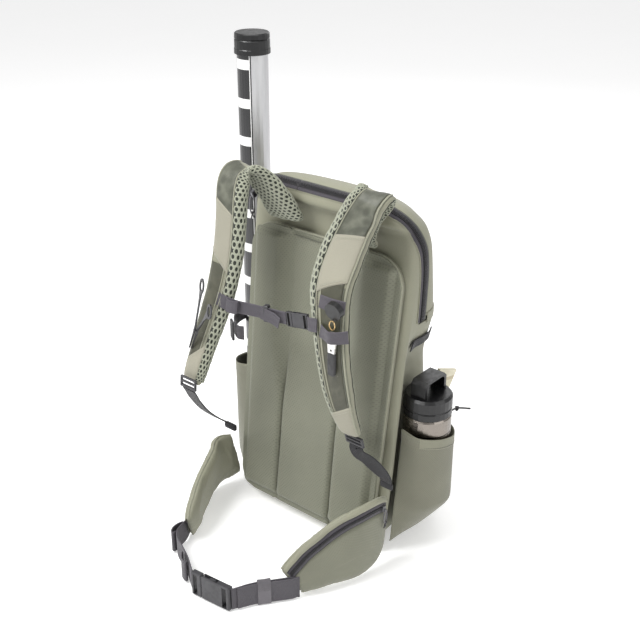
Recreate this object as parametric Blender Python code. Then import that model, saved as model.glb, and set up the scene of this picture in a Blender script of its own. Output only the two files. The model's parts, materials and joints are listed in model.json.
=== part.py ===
"""Tackle backpack: a clamshell day pack for fishing, with its harness, hip belt and carried gear.

The frame: +Z up, the harness and back panel face -Y, the front of the bag faces +Y, and the
origin is the middle of the base on the ground. All lengths are metres.
"""
import math

import bmesh
import bpy
from mathutils import Matrix, Vector

# ---- driving dimensions ---------------------------------------------------------------------
GAP = 0.0005                 # air left between neighbouring pieces
BAG_HEIGHT = 0.560
BAG_WALL = 0.003
BACK_HALF = 0.155            # half width at the back corners
SIDE_HALF_LOW = 0.128        # half width between the side pockets
PANEL_LEAN = math.radians(7.0)
PANEL_BASE_Y = -0.105        # where the panel's outer plane meets the ground
PANEL_STAND = 0.016          # outer plane of the panel to the bag's back wall
PANEL_LOW, PANEL_TOP = 0.022, 0.486
PANEL_HALF_LOW, PANEL_HALF_TOP = 0.135, 0.144
LID_HINGE_Z = 0.380
ZIP_HALF = 0.010             # half width of the main zip with its tape
ZIP_THICK = 0.0016
WEB_THICK = 0.0022
BELT_WEB = 0.038
STERNUM_WEB = 0.020
SHOULDER_WEB = 0.025
ROD_TUBE_R, ROD_TUBE_WALL = 0.024, 0.0015
ROD_TUBE_AT = Vector((-0.183, 0.008, 0.0))
ROD_TUBE_TOP = 0.753
BOTTLE_R = 0.0370
BOTTLE_AT = Vector((0.1705, -0.002, 0.0))
BOTTLE_LOW, BOTTLE_SHOULDER = 0.090, 0.236
POCKET_RIM_BACK, POCKET_RIM_FRONT = 0.217, 0.186

X_AXIS, Y_AXIS, Z_AXIS = Vector((1, 0, 0)), Vector((0, 1, 0)), Vector((0, 0, 1))
PANEL_UP = Vector((0, math.sin(PANEL_LEAN), math.cos(PANEL_LEAN)))
PANEL_OUT = Vector((0, -math.cos(PANEL_LEAN), math.sin(PANEL_LEAN)))

# name: base colour, roughness, metallic
FINISHES = {
    "sage_fabric": ((0.33, 0.33, 0.24), 0.75, 0.0),
    "panel_foam": ((0.27, 0.28, 0.21), 0.80, 0.0),
    "camo_fabric": ((0.10, 0.10, 0.07), 0.80, 0.0),
    "spacer_mesh": ((0.50, 0.55, 0.42), 0.85, 0.0),
    "purple_webbing": ((0.16, 0.14, 0.16), 0.70, 0.0),
    "black_webbing": ((0.03, 0.03, 0.035), 0.75, 0.0),
    "buckle_plastic": ((0.07, 0.07, 0.075), 0.45, 0.0),
    "black_zip": ((0.015, 0.013, 0.017), 0.55, 0.0),
    "zip_metal": ((0.12, 0.12, 0.13), 0.35, 1.0),
    "black_plastic": ((0.012, 0.012, 0.013), 0.25, 0.0),
    "tube_enamel": ((0.010, 0.010, 0.012), 0.20, 0.0),
    "steel": ((0.62, 0.58, 0.53), 0.25, 1.0),
    "nipper_steel": ((0.75, 0.74, 0.72), 0.22, 1.0),
    "gunmetal": ((0.10, 0.10, 0.105), 0.40, 0.6),
    "brass_ring": ((0.60, 0.42, 0.20), 0.30, 1.0),
    "paper": ((0.62, 0.57, 0.42), 0.90, 0.0),
    "frame_plastic": ((0.03, 0.03, 0.03), 0.55, 0.0),
}


def clear_scene():
    for old in list(bpy.data.objects):
        bpy.data.objects.remove(old, do_unlink=True)


def finish(name):
    """One Principled material for each finish, made on first use."""
    if name in bpy.data.materials:
        return bpy.data.materials[name]
    colour, roughness, metallic = FINISHES[name]
    material = bpy.data.materials.new(name)
    material.use_nodes = True
    shader = material.node_tree.nodes["Principled BSDF"]
    shader.inputs["Base Color"].default_value = (*colour, 1.0)
    shader.inputs["Roughness"].default_value = roughness
    shader.inputs["Metallic"].default_value = metallic
    return material


def add_object(name, mesh, finish_name, smooth_angle=None):
    part = bpy.data.objects.new(name, mesh)
    bpy.context.scene.collection.objects.link(part)
    mesh.materials.append(finish(finish_name))
    if smooth_angle is not None:
        mesh.shade_smooth()
        mesh.set_sharp_from_angle(angle=math.radians(smooth_angle))
    return part


def mesh_from(name, bm):
    bmesh.ops.recalc_face_normals(bm, faces=bm.faces)
    mesh = bpy.data.meshes.new(name)
    bm.to_mesh(mesh)
    bm.free()
    return mesh


def guide(part):
    """Marks an object that only cuts others."""
    part.hide_render = True
    part.display_type = "WIRE"
    return part


def boolean(part, cutter, operation):
    modifier = part.modifiers.new(operation.title(), "BOOLEAN")
    modifier.operation = operation
    modifier.solver = "EXACT"
    modifier.object = cutter


def add_solidify(part, thickness, outward=False):
    modifier = part.modifiers.new("Wall", "SOLIDIFY")
    modifier.thickness = thickness
    modifier.offset = 1.0 if outward else -1.0
    modifier.use_even_offset = False


def add_lift(part, distance):
    modifier = part.modifiers.new("Lift", "DISPLACE")
    modifier.strength = distance
    modifier.mid_level = 0.0


def add_bevel(part, width, segments=2):
    modifier = part.modifiers.new("Bevel", "BEVEL")
    modifier.width = width
    modifier.segments = segments
    modifier.limit_method = "ANGLE"
    modifier.angle_limit = math.radians(35)


# ---- curves and lofts -----------------------------------------------------------------------
def smooth_points(points, count):
    """Catmull-Rom points through tuples of any length, evenly spaced in the parameter."""
    rows = [Vector(p) for p in points]
    rows = [2 * rows[0] - rows[1]] + rows + [2 * rows[-1] - rows[-2]]
    spans = len(rows) - 3
    out = []
    for i in range(count):
        place = spans * i / (count - 1)
        k = min(int(place), spans - 1)
        t = place - k
        a, b, c, d = rows[k:k + 4]
        out.append(0.5 * (2 * b + (c - a) * t + (2 * a - 5 * b + 4 * c - d) * t * t
                          + (3 * b - a - 3 * c + d) * t ** 3))
    return out


def loft(name, rings, finish_name, smooth_angle=50, closed=True):
    """Skins rings of equal point counts; closed caps both ends, else it stays an open sheet."""
    bm = bmesh.new()
    rows = [[bm.verts.new(p) for p in ring] for ring in rings]
    count = len(rows[0])
    for low, high in zip(rows, rows[1:]):
        for i in range(count if closed else count - 1):
            j = (i + 1) % count
            bm.faces.new((low[i], low[j], high[j], high[i]))
    if closed:
        bm.faces.new(rows[0])
        bm.faces.new(rows[-1])
    return add_object(name, mesh_from(name, bm), finish_name, smooth_angle)


def thick_sheet(name, rows, thickness, finish_name, smooth_angle=50):
    """A closed sheet over a grid of points, thickened to the side the rows turn round."""
    count, last = len(rows), len(rows[0]) - 1
    bm = bmesh.new()
    near = [[bm.verts.new(p) for p in row] for row in rows]
    far = []
    for k, row in enumerate(rows):
        line = []
        for i, p in enumerate(row):
            along = row[min(i + 1, last)] - row[max(i - 1, 0)]
            upward = rows[min(k + 1, count - 1)][i] - rows[max(k - 1, 0)][i]
            line.append(bm.verts.new(p + along.cross(upward).normalized() * thickness))
        far.append(line)
    for k in range(count - 1):
        for i in range(last):
            bm.faces.new((near[k][i], near[k + 1][i], near[k + 1][i + 1], near[k][i + 1]))
            bm.faces.new((far[k][i], far[k][i + 1], far[k + 1][i + 1], far[k + 1][i]))
        bm.faces.new((near[k][0], far[k][0], far[k + 1][0], near[k + 1][0]))
        bm.faces.new((near[k][last], near[k + 1][last], far[k + 1][last], far[k][last]))
    for i in range(last):
        bm.faces.new((near[0][i], near[0][i + 1], far[0][i + 1], far[0][i]))
        bm.faces.new((near[-1][i], far[-1][i], far[-1][i + 1], near[-1][i + 1]))
    return add_object(name, mesh_from(name, bm), finish_name, smooth_angle)


def rounded_section(width, thickness, power, count):
    """Points of a superellipse: 2 is an ellipse, higher powers are boxier."""
    section = []
    for i in range(count):
        angle = 2 * math.pi * i / count
        c, s = math.cos(angle), math.sin(angle)
        u = math.copysign(abs(c) ** (2 / power), c)
        v = math.copysign(abs(s) ** (2 / power), s)
        section.append((u * width / 2, v * thickness / 2))
    return section


def flat_section(width, thickness):
    w, t = width / 2, thickness / 2
    return [(-w, -t), (w, -t), (w, t), (-w, t)]


def strip_frames(stations, count):
    """Stations are (x, y, z, across x, y, z, width, thickness); returns the frames along them."""
    rows = [tuple(s[0]) + tuple(s[1]) + tuple(s[2:]) for s in stations]
    samples = smooth_points(rows, count)
    centres = [Vector(s[:3]) for s in samples]
    frames = []
    for i, s in enumerate(samples):
        ahead = centres[min(i + 1, count - 1)] - centres[max(i - 1, 0)]
        tangent = ahead.normalized()
        across = Vector(s[3:6])
        across = (across - tangent * across.dot(tangent)).normalized()
        frames.append((centres[i], across, tangent.cross(across), s[6], s[7]))
    return frames


def sweep(name, stations, count, finish_name, section=None, smooth_angle=50):
    """A strap or pad swept through its stations."""
    rings = []
    for centre, across, normal, width, thickness in strip_frames(stations, count):
        outline = section(width, thickness) if section else flat_section(width, thickness)
        rings.append([centre + across * u + normal * v for u, v in outline])
    return loft(name, rings, finish_name, smooth_angle)


def lathe(name, profile, centre, finish_name, sides=28, smooth_angle=40):
    """Turns a closed (radius, z) profile about the vertical through centre; radius 0 is a pole."""
    bm = bmesh.new()
    rings = []
    for radius, z in profile:
        if radius == 0:
            rings.append([bm.verts.new(centre + Vector((0, 0, z)))])
            continue
        turn = [2 * math.pi * i / sides for i in range(sides)]
        rings.append([bm.verts.new(centre + Vector((radius * math.cos(a), radius * math.sin(a), z)))
                      for a in turn])
    pairs = list(zip(rings, rings[1:]))
    if profile[0][0] and profile[-1][0]:
        pairs.append((rings[-1], rings[0]))
    for low, high in pairs:
        for i in range(sides):
            j = (i + 1) % sides
            if len(low) == 1:
                bm.faces.new((low[0], high[j], high[i]))
            elif len(high) == 1:
                bm.faces.new((low[i], low[j], high[0]))
            else:
                bm.faces.new((low[i], low[j], high[j], high[i]))
    return add_object(name, mesh_from(name, bm), finish_name, smooth_angle)


def box(name, low, high, finish_name, bevel=0.0, place=None):
    """A box between two corners; its vertices are moved by place when that is given."""
    bm = bmesh.new()
    bmesh.ops.create_cube(bm, size=1.0)
    low, high = Vector(low), Vector(high)
    for v in bm.verts:
        v.co = Vector([low[k] + (v.co[k] + 0.5) * (high[k] - low[k]) for k in range(3)])
    if bevel:
        bmesh.ops.bevel(bm, geom=list(bm.edges), offset=bevel, segments=1, affect="EDGES")
    part = add_object(name, mesh_from(name, bm), finish_name)
    if place is not None:
        part.matrix_world = place
    return part


def grid_plate(name, xs, ys, holes, thickness, finish_name, place):
    """A flat plate on a grid of cells, with the cells in holes left out, centred in thickness."""
    bm = bmesh.new()
    cells = {(i, j) for i in range(len(xs) - 1) for j in range(len(ys) - 1)} - set(holes)
    verts = {}

    def corner(i, j, side):
        key = (i, j, side)
        if key not in verts:
            verts[key] = bm.verts.new((xs[i], ys[j], side * thickness / 2))
        return verts[key]

    for i, j in cells:
        ring = [(i, j), (i + 1, j), (i + 1, j + 1), (i, j + 1)]
        bm.faces.new([corner(a, b, 1) for a, b in ring])
        bm.faces.new([corner(a, b, -1) for a, b in reversed(ring)])
        beside = [(i, j - 1), (i + 1, j), (i, j + 1), (i - 1, j)]
        for k in range(4):
            if beside[k] not in cells:
                (a, b), (c, d) = ring[k], ring[(k + 1) % 4]
                bm.faces.new((corner(a, b, -1), corner(c, d, -1), corner(c, d, 1), corner(a, b, 1)))
    part = add_object(name, mesh_from(name, bm), finish_name)
    part.matrix_world = place
    return part


def placed(origin, x_dir, y_dir):
    """A matrix with its X along x_dir, Y as near y_dir as it can be, and Z across both."""
    x = Vector(x_dir).normalized()
    z = x.cross(Vector(y_dir)).normalized()
    y = z.cross(x)
    matrix = Matrix((x, y, z)).transposed().to_4x4()
    matrix.translation = Vector(origin)
    return matrix


def cord(name, points, radius, finish_name, cyclic=False, resolution=2):
    """A round cord: a poly curve with a bevel and filled caps."""
    curve = bpy.data.curves.new(name, "CURVE")
    curve.dimensions = "3D"
    curve.bevel_depth = radius
    curve.bevel_resolution = resolution
    curve.use_fill_caps = True
    spline = curve.splines.new("POLY")
    spline.points.add(len(points) - 1)
    for point, place in zip(spline.points, points):
        point.co = (*place, 1.0)
    spline.use_cyclic_u = cyclic
    part = bpy.data.objects.new(name, curve)
    bpy.context.scene.collection.objects.link(part)
    curve.materials.append(finish(finish_name))
    return part


def cylinder(name, radius, start, end, finish_name, sides=20):
    axis = Vector(end) - Vector(start)
    part = lathe(name, [(0, 0), (radius, 0), (radius, axis.length), (0, axis.length)],
                 Vector((0, 0, 0)), finish_name, sides)
    turn = Z_AXIS.rotation_difference(axis).to_matrix().to_4x4()
    part.matrix_world = Matrix.Translation(Vector(start)) @ turn
    return part


# ---- the bag --------------------------------------------------------------------------------
def blend(value, table):
    """Linear interpolation in (input, output) rows."""
    if value <= table[0][0]:
        return table[0][1]
    for (a, fa), (b, fb) in zip(table, table[1:]):
        if value <= b:
            return fa + (fb - fa) * (value - a) / (b - a)
    return table[-1][1]


def step(value, low, high):
    t = min(max((value - low) / (high - low), 0.0), 1.0)
    return t * t * (3 - 2 * t)


BACK_TABLE = [(0.0, PANEL_BASE_Y + PANEL_STAND), (0.481, -0.0299), (0.523, -0.0299),
              (0.530, -0.0480), (0.545, -0.0460), (0.553, -0.0400), (0.558, -0.0300),
              (BAG_HEIGHT, -0.0200)]
FRONT_TABLE = [(0.0, 0.112), (0.100, 0.101), (0.250, 0.085), (0.340, 0.075), (0.430, 0.067),
               (0.455, 0.064), (0.480, 0.0595), (0.505, 0.053), (0.525, 0.045), (0.540, 0.035),
               (0.548, 0.026), (0.555, 0.012), (0.5585, 0.002), (BAG_HEIGHT, -0.006)]
SIDE_TABLE = [(0.0, SIDE_HALF_LOW), (0.240, SIDE_HALF_LOW), (0.300, 0.1290), (0.340, 0.1420),
              (0.370, 0.1525), (0.430, 0.155), (BAG_HEIGHT, 0.153)]
CORNER_TABLE = [(0.0, 0.150), (0.12, BACK_HALF), (0.45, BACK_HALF), (BAG_HEIGHT, 0.153)]
DOME_START, DOME_R, BASE_R = 0.492, 0.068, 0.022
BAG_LEVELS = [0.0, 0.003, 0.010, 0.022, 0.070, 0.130, 0.190, 0.240, 0.272, 0.300, 0.322, 0.340,
              0.356, 0.372, 0.400, 0.440, 0.481, 0.492, 0.508, 0.5225, 0.530, 0.540, 0.547, 0.553,
              0.557, BAG_HEIGHT]


def round_off(z):
    """How far the walls pull in near the base and under the top."""
    if z < BASE_R:
        return BASE_R - math.sqrt(BASE_R ** 2 - (BASE_R - z) ** 2)
    if z > DOME_START:
        rise = min(z - DOME_START, DOME_R)
        return DOME_R - math.sqrt(max(DOME_R ** 2 - rise ** 2, 0.0))
    return 0.0


def bag_ring(z):
    """The bag's outline at height z, counterclockwise from the middle of the back."""
    inset = round_off(z)
    low_inset = inset if z < BASE_R else 0.0
    back = blend(z, BACK_TABLE) + low_inset
    front = blend(z, FRONT_TABLE) - low_inset
    corner = blend(z, CORNER_TABLE) - inset
    side = blend(z, SIDE_TABLE) - inset
    deep = max(front - back, 0.010)
    r_back = min(0.012, deep * 0.25)
    round_x = 0.045 + 0.035 * step(z, 0.25, 0.48)
    round_y = min(0.060, deep * 0.62)
    half = [(0.0, back), (0.45 * corner, back), (0.82 * corner, back)]
    for angle in (-75, -40, -5):
        a = math.radians(angle)
        half.append((corner - r_back + r_back * math.cos(a), back + r_back + r_back * math.sin(a)))
    half.append(((corner * 2 + side) / 3, back + min(0.016, deep * 0.29)))
    half.append(((corner + side * 2) / 3, back + min(0.026, deep * 0.32)))
    half.append((side, back + min(0.036, deep * 0.35)))
    for angle in (0, 15, 30, 45, 60, 75, 90):
        a = math.radians(angle)
        half.append((side - round_x + round_x * math.cos(a), front - round_y + round_y * math.sin(a)))
    half.append((0.0, front + 0.006 * min(1.0, deep / 0.10)))
    right = [Vector((x, y, z)) for x, y in half]
    left = [Vector((-x, y, z)) for x, y in half[1:-1]]
    return right + left[::-1]


def bag_side(y, z):
    """How far the bag's right side reaches at depth y and height z."""
    ring = bag_ring(z)
    edge = [p for p in ring[:len(ring) // 2 + 1] if p.x > 0.05]
    return blend(y, sorted((p.y, p.x) for p in edge))


def bag_solid(name):
    return loft(name, [bag_ring(z) for z in BAG_LEVELS], "sage_fabric", 40)


ZIP_LINE = smooth_points([(-0.004, LID_HINGE_Z, 0), (-0.004, 0.420, 0), (-0.0045, 0.455, 0),
                          (-0.0080, 0.485, 0), (-0.0150, 0.509, 0), (-0.0240, 0.531, 0),
                          (-0.0370, 0.5515, 0), (-0.0530, 0.5700, 0)], 15)
WIDE = 0.30                  # cutters run this far to each side
REACH = 0.20


def side_prism(name, outline):
    """A prism along X from a (y, z) outline, used only to cut."""
    rings = [[Vector((x, y, z)) for y, z in outline] for x in (-WIDE, WIDE)]
    return guide(loft(name, rings, "sage_fabric", None))


def beside_zip(shift):
    """The zip's line in the side view, shifted square to itself towards the lid."""
    last = len(ZIP_LINE) - 1
    line = []
    for i, p in enumerate(ZIP_LINE):
        run = (ZIP_LINE[min(i + 1, last)] - ZIP_LINE[max(i - 1, 0)]).normalized()
        line.append((p[0] + run[1] * shift, p[1] - run[0] * shift))
    return line


def lid_region(name, clearance):
    edge = beside_zip(clearance)
    edge[0] = (edge[0][0], LID_HINGE_Z + clearance)
    return side_prism(name, edge + [(REACH, edge[-1][1]), (REACH, LID_HINGE_Z + clearance)])


def zip_region(name, near, far):
    return side_prism(name, beside_zip(near) + beside_zip(far)[::-1])


def build_bag():
    shell = bag_solid("main_shell")
    add_solidify(shell, BAG_WALL)
    boolean(shell, lid_region("lid_space", 0.0), "DIFFERENCE")
    lid = bag_solid("front_lid")
    add_solidify(lid, BAG_WALL)
    boolean(lid, lid_region("lid_cut", GAP), "INTERSECT")
    for name, near, far in (("zip_tape_shell", -ZIP_HALF, -GAP / 2), ("zip_tape_lid", GAP, ZIP_HALF)):
        tape = bag_solid(name)
        tape.data.materials[0] = finish("black_zip")
        add_lift(tape, GAP)
        add_solidify(tape, ZIP_THICK, outward=True)
        boolean(tape, zip_region(name + "_band", near, far), "INTERSECT")


def panel_point(x, up, out):
    return Vector((x, PANEL_BASE_Y, 0)) + PANEL_UP * up + PANEL_OUT * out


def panel_height(x, up):
    """The moulded relief of the back panel: two long pads, a channel and a lumbar pad."""
    low = 1 - step(up, 0.19, 0.33)
    pad_edge = 0.088 + (0.061 - 0.088) * low
    flank = 0.034 + (0.007 - 0.034) * low
    into_channel = step(pad_edge - abs(x), 0.0, flank)
    lumbar = step(0.056 - abs(x), 0.0, 0.008)
    middle = -0.0125 + 0.0115 * low * lumbar
    height = into_channel * middle
    reach = PANEL_HALF_LOW + (PANEL_HALF_TOP - PANEL_HALF_LOW) * up / PANEL_TOP
    rim = min(reach - abs(x), up - PANEL_LOW, PANEL_TOP - up)
    return min(height, -0.0085 * (1 - step(rim, 0.009, 0.020)))


def panel_outline(up, inset=0.0):
    """Half width of the panel at a height along it, with rounded corners."""
    half = PANEL_HALF_LOW + (PANEL_HALF_TOP - PANEL_HALF_LOW) * up / PANEL_TOP - inset
    for edge, radius in ((PANEL_TOP - inset - up, 0.045), (up - PANEL_LOW - inset, 0.035)):
        if edge < radius:
            half -= radius - math.sqrt(max(radius ** 2 - (radius - max(edge, 0.0)) ** 2, 0.0))
    return half


def build_panel():
    """The foam back panel: a height field over its outline, closed by a flat back."""
    ups = [PANEL_LOW, PANEL_LOW + 0.003, PANEL_LOW + 0.010, PANEL_LOW + 0.020]
    ups += [PANEL_LOW + 0.036 + (PANEL_TOP - PANEL_LOW - 0.082) * i / 13 for i in range(14)]
    ups += [PANEL_TOP - 0.030, PANEL_TOP - 0.018, PANEL_TOP - 0.008, PANEL_TOP - 0.002, PANEL_TOP]
    shares = [-1, -0.93, -0.86, -0.62, -0.50, -0.41, -0.30, -0.15, 0,
              0.15, 0.30, 0.41, 0.50, 0.62, 0.86, 0.93, 1]
    bm = bmesh.new()
    front, back = [], []
    for up in ups:
        half = panel_outline(up)
        xs = [half * s for s in shares]
        front.append([bm.verts.new(panel_point(x, up, panel_height(x, up))) for x in xs])
        back.append([bm.verts.new(panel_point(x, up, -PANEL_STAND + GAP)) for x in xs])
    last = len(shares) - 1
    for k in range(len(ups) - 1):
        for i in range(last):
            bm.faces.new((front[k][i], front[k][i + 1], front[k + 1][i + 1], front[k + 1][i]))
            bm.faces.new((back[k][i], back[k + 1][i], back[k + 1][i + 1], back[k][i + 1]))
        bm.faces.new((front[k][0], front[k + 1][0], back[k + 1][0], back[k][0]))
        bm.faces.new((front[k][last], back[k][last], back[k + 1][last], front[k + 1][last]))
    for i in range(last):
        bm.faces.new((front[0][i], back[0][i], back[0][i + 1], front[0][i + 1]))
        bm.faces.new((front[-1][i], front[-1][i + 1], back[-1][i + 1], back[-1][i]))
    add_object("back_panel", mesh_from("back_panel", bm), "panel_foam", 40)


def build_frame_sheet():
    depth = PANEL_STAND + BAG_WALL + 0.001
    rings = []
    for up in (0.034, 0.044, 0.436, 0.446):
        half = 0.118 if up in (0.034, 0.446) else 0.128
        rings.append([panel_point(-half, up, -depth), panel_point(half, up, -depth),
                      panel_point(half, up, -depth - 0.002), panel_point(-half, up, -depth - 0.002)])
    loft("frame_sheet", rings, "frame_plastic", None)


POCKET_SPREAD = {
    1: [(0.0240, 0.03), (0.0246, 0.22), (0.034, 0.42), (0.050, 0.62), (0.067, 0.81), (0.083, 0.97),
        (0.097, 1.0), (0.130, 1.0), (0.170, 1.0), (0.192, 1.0)],
    -1: [(0.0200, 0.03), (0.0206, 0.42), (0.026, 0.80), (0.034, 0.98), (0.050, 1.0), (0.075, 1.0),
         (0.100, 1.0), (0.130, 1.0), (0.170, 1.0), (0.192, 1.0)],
}


POCKET_BULGE = {
    1: [(0.1850, -0.0460), (0.2045, -0.0240), (0.2095, 0.0020), (0.2035, 0.0230), (0.1800, 0.0480)],
    -1: [(0.1850, -0.0460), (0.2060, -0.0250), (0.2125, 0.0040), (0.2080, 0.0320), (0.1800, 0.0560)],
}


def pocket_rows(side):
    """Rows of a side pocket's inner face from under the base edge up to its slanting rim."""
    rows = []
    for level, bulge in POCKET_SPREAD[side] + [(None, 1.0)]:
        z_mid = min(level or 0.200, 0.200)
        back_end = Vector((BACK_HALF + 0.0010, blend(z_mid, BACK_TABLE) + 0.0185, 0))
        front_end = Vector((0.1245, blend(z_mid, FRONT_TABLE) - 0.0180, 0))
        shape = [back_end] + [Vector((x, y, 0)) for x, y in POCKET_BULGE[side]] + [front_end]
        row = []
        for i, p in enumerate(smooth_points(shape, 15)):
            share = i / 14
            spot = back_end.lerp(front_end, share).lerp(p, bulge)
            rim = POCKET_RIM_BACK + (POCKET_RIM_FRONT - POCKET_RIM_BACK) * share
            row.append(Vector((side * spot.x, spot.y, level or rim)))
        rows.append(row if side > 0 else row[::-1])
    return rows


def build_pockets():
    for name, side in (("side_pocket_right", 1), ("side_pocket_left", -1)):
        thick_sheet(name, pocket_rows(side), 0.0018, "sage_fabric")


# ---- harness --------------------------------------------------------------------------------
def strap_section(width, thickness):
    return rounded_section(width, thickness, 3.2, 14)


X_ACROSS = (1, 0, 0)
STRAP_RIGHT = [
    ((0.066, -0.0480, 0.5000), X_ACROSS, 0.082, 0.011), ((0.072, -0.0570, 0.520), X_ACROSS, 0.080, 0.011),
    ((0.087, -0.0600, 0.548), X_ACROSS, 0.074, 0.012), ((0.104, -0.0615, 0.572), X_ACROSS, 0.067, 0.013),
    ((0.1155, -0.0710, 0.585), X_ACROSS, 0.062, 0.014),
    ((0.1105, -0.0830, 0.573), X_ACROSS, 0.064, 0.016),
    ((0.097, -0.0870, 0.545), X_ACROSS, 0.073, 0.016), ((0.085, -0.1040, 0.500), X_ACROSS, 0.082, 0.016),
    ((0.082, -0.1240, 0.455), X_ACROSS, 0.080, 0.016), ((0.091, -0.1370, 0.405), X_ACROSS, 0.070, 0.016),
    ((0.101, -0.1420, 0.350), X_ACROSS, 0.065, 0.016), ((0.110, -0.1380, 0.295), X_ACROSS, 0.060, 0.015),
    ((0.117, -0.1250, 0.248), X_ACROSS, 0.046, 0.014), ((0.119, -0.1190, 0.232), X_ACROSS, 0.038, 0.012)]
STRAP_LEFT = [
    ((-0.066, -0.0480, 0.5000), X_ACROSS, 0.082, 0.011),
    ((-0.070, -0.0570, 0.520), X_ACROSS, 0.082, 0.011),
    ((-0.079, -0.0680, 0.545), X_ACROSS, 0.078, 0.012),
    ((-0.093, -0.0800, 0.569), X_ACROSS, 0.072, 0.013),
    ((-0.108, -0.0930, 0.580), X_ACROSS, 0.067, 0.014),
    ((-0.113, -0.1070, 0.572), X_ACROSS, 0.065, 0.016),
    ((-0.112, -0.1160, 0.548), X_ACROSS, 0.064, 0.016),
    ((-0.110, -0.1230, 0.508), X_ACROSS, 0.064, 0.016),
    ((-0.109, -0.1320, 0.460), X_ACROSS, 0.064, 0.016),
    ((-0.110, -0.1450, 0.415), X_ACROSS, 0.062, 0.016),
    ((-0.114, -0.1620, 0.370), X_ACROSS, 0.058, 0.016),
    ((-0.119, -0.1810, 0.326), X_ACROSS, 0.052, 0.015),
    ((-0.124, -0.1970, 0.286), X_ACROSS, 0.046, 0.014),
    ((-0.128, -0.2050, 0.264), X_ACROSS, 0.040, 0.012)]
RIGHT_LOCK = Vector((0.1205, -0.1155, 0.2170))
LEFT_LOCK = Vector((-0.1240, -0.2150, 0.2680))


def build_ladder_lock(name, centre, down):
    """A tension buckle: a plate with three bars round two slots."""
    xs = [-0.0165, -0.0135, 0.0135, 0.0165]
    ys = [0.0, 0.0030, 0.0070, 0.0100, 0.0140, 0.0180]
    place = placed(Vector(centre) - Vector(down).normalized() * 0.009, X_ACROSS, down)
    plate = grid_plate(name, xs, ys, [(1, 1), (1, 3)], 0.0042, "buckle_plastic", place)
    add_bevel(plate, 0.0007, 1)


def build_harness():
    sweep("shoulder_strap_right", STRAP_RIGHT, 34, "sage_fabric", strap_section)
    sweep("shoulder_strap_left", STRAP_LEFT, 34, "sage_fabric", strap_section)
    build_ladder_lock("ladder_lock_right", RIGHT_LOCK, (0.03, 0.30, -1.0))
    build_ladder_lock("ladder_lock_left", LEFT_LOCK, (-0.05, -0.10, -1.0))
    web, thick = SHOULDER_WEB, WEB_THICK
    sweep("lower_webbing_right", [
        ((0.1215, -0.1125, 0.2065), X_ACROSS, web, thick),
        ((0.1218, -0.1130, 0.2010), X_ACROSS, web, thick),
        ((0.1290, -0.1130, 0.1940), (1, 0, 0.3), web, thick),
        ((0.1420, -0.1100, 0.1880), (0.8, 0, 0.6), web, thick),
        ((0.1590, -0.1080, 0.1790), (0.8, 0, 0.6), web, thick),
        ((0.1700, -0.1050, 0.1680), (1, 0, 0.2), web * 0.9, thick),
        ((0.1680, -0.1010, 0.1570), X_ACROSS, web * 0.8, thick)],
        16, "black_webbing")
    sweep("lower_webbing_left", [
        ((-0.1250, -0.2135, 0.2555), X_ACROSS, web, thick),
        ((-0.1280, -0.2060, 0.2440), X_ACROSS, web, thick),
        ((-0.1320, -0.1960, 0.2280), X_ACROSS, web, thick),
        ((-0.1380, -0.1720, 0.1960), X_ACROSS, web, thick),
        ((-0.1460, -0.1400, 0.1640), X_ACROSS, web, thick),
        ((-0.1520, -0.1160, 0.1430), X_ACROSS, web, thick),
        ((-0.1540, -0.1040, 0.1330), X_ACROSS, web, thick)],
        16, "black_webbing")
    box("anchor_tab_right", (0.1570, -0.1000, 0.1440), (0.1790, -0.0950, 0.1542), "black_webbing", 0.0012)
    box("anchor_tab_left", (-0.1660, -0.1040, 0.1200), (-0.1420, -0.0960, 0.1300), "black_webbing",
        0.0012)


# ---- hip belt -------------------------------------------------------------------------------
# pairs of points down a wing's middle: its lower edge, then its upper edge
WING_RIGHT = [((0.1545, -0.0915, 0.0260), (0.1545, -0.0810, 0.118)),
              ((0.1590, -0.1150, 0.0100), (0.1600, -0.1150, 0.136)),
              ((0.1560, -0.1450, 0.0020), (0.1595, -0.1480, 0.141)),
              ((0.1465, -0.1715, 0.0015), (0.1506, -0.1745, 0.134)),
              ((0.1300, -0.2030, 0.0015), (0.1353, -0.2018, 0.112)),
              ((0.1150, -0.2285, 0.0015), (0.1163, -0.2248, 0.083)),
              ((0.1030, -0.2450, 0.0015), (0.1020, -0.2430, 0.057))]
WING_LEFT = [((-0.1545, -0.0915, 0.0260), (-0.1545, -0.0815, 0.104)),
             ((-0.1680, -0.1190, 0.0100), (-0.1610, -0.1080, 0.110)),
             ((-0.1640, -0.1500, 0.0020), (-0.1540, -0.1330, 0.106)),
             ((-0.1440, -0.1840, 0.0015), (-0.1400, -0.1700, 0.096)),
             ((-0.1250, -0.2125, 0.0015), (-0.1230, -0.2060, 0.086)),
             ((-0.1090, -0.2330, 0.0015), (-0.1070, -0.2350, 0.070)),
             ((-0.0970, -0.2500, 0.0015), (-0.0980, -0.2500, 0.053))]
WING_THICK = 0.014
WING_TIP = 0.009


def wing_section(width, thickness):
    return rounded_section(width, thickness, 3.6, 14)


def wing_stations(pairs):
    stations = []
    for i, (low, high) in enumerate(pairs):
        up = Vector(high) - Vector(low)
        thick = WING_TIP if i in (0, len(pairs) - 1) else WING_THICK
        stations.append((tuple((Vector(low) + Vector(high)) / 2), tuple(up), up.length, thick))
    return stations


def wing_outside(pairs, side, drop, lift):
    """Along a wing's outer face, drop below its upper edge: rows of spot, outward and up."""
    rows = []
    for centre, across, normal, width, thick in strip_frames(wing_stations(pairs), 20)[2:-2]:
        out = normal * -side
        rows.append((centre + across * (width / 2 - drop) + out * (thick / 2 + lift), out, across))
    return rows


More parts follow.
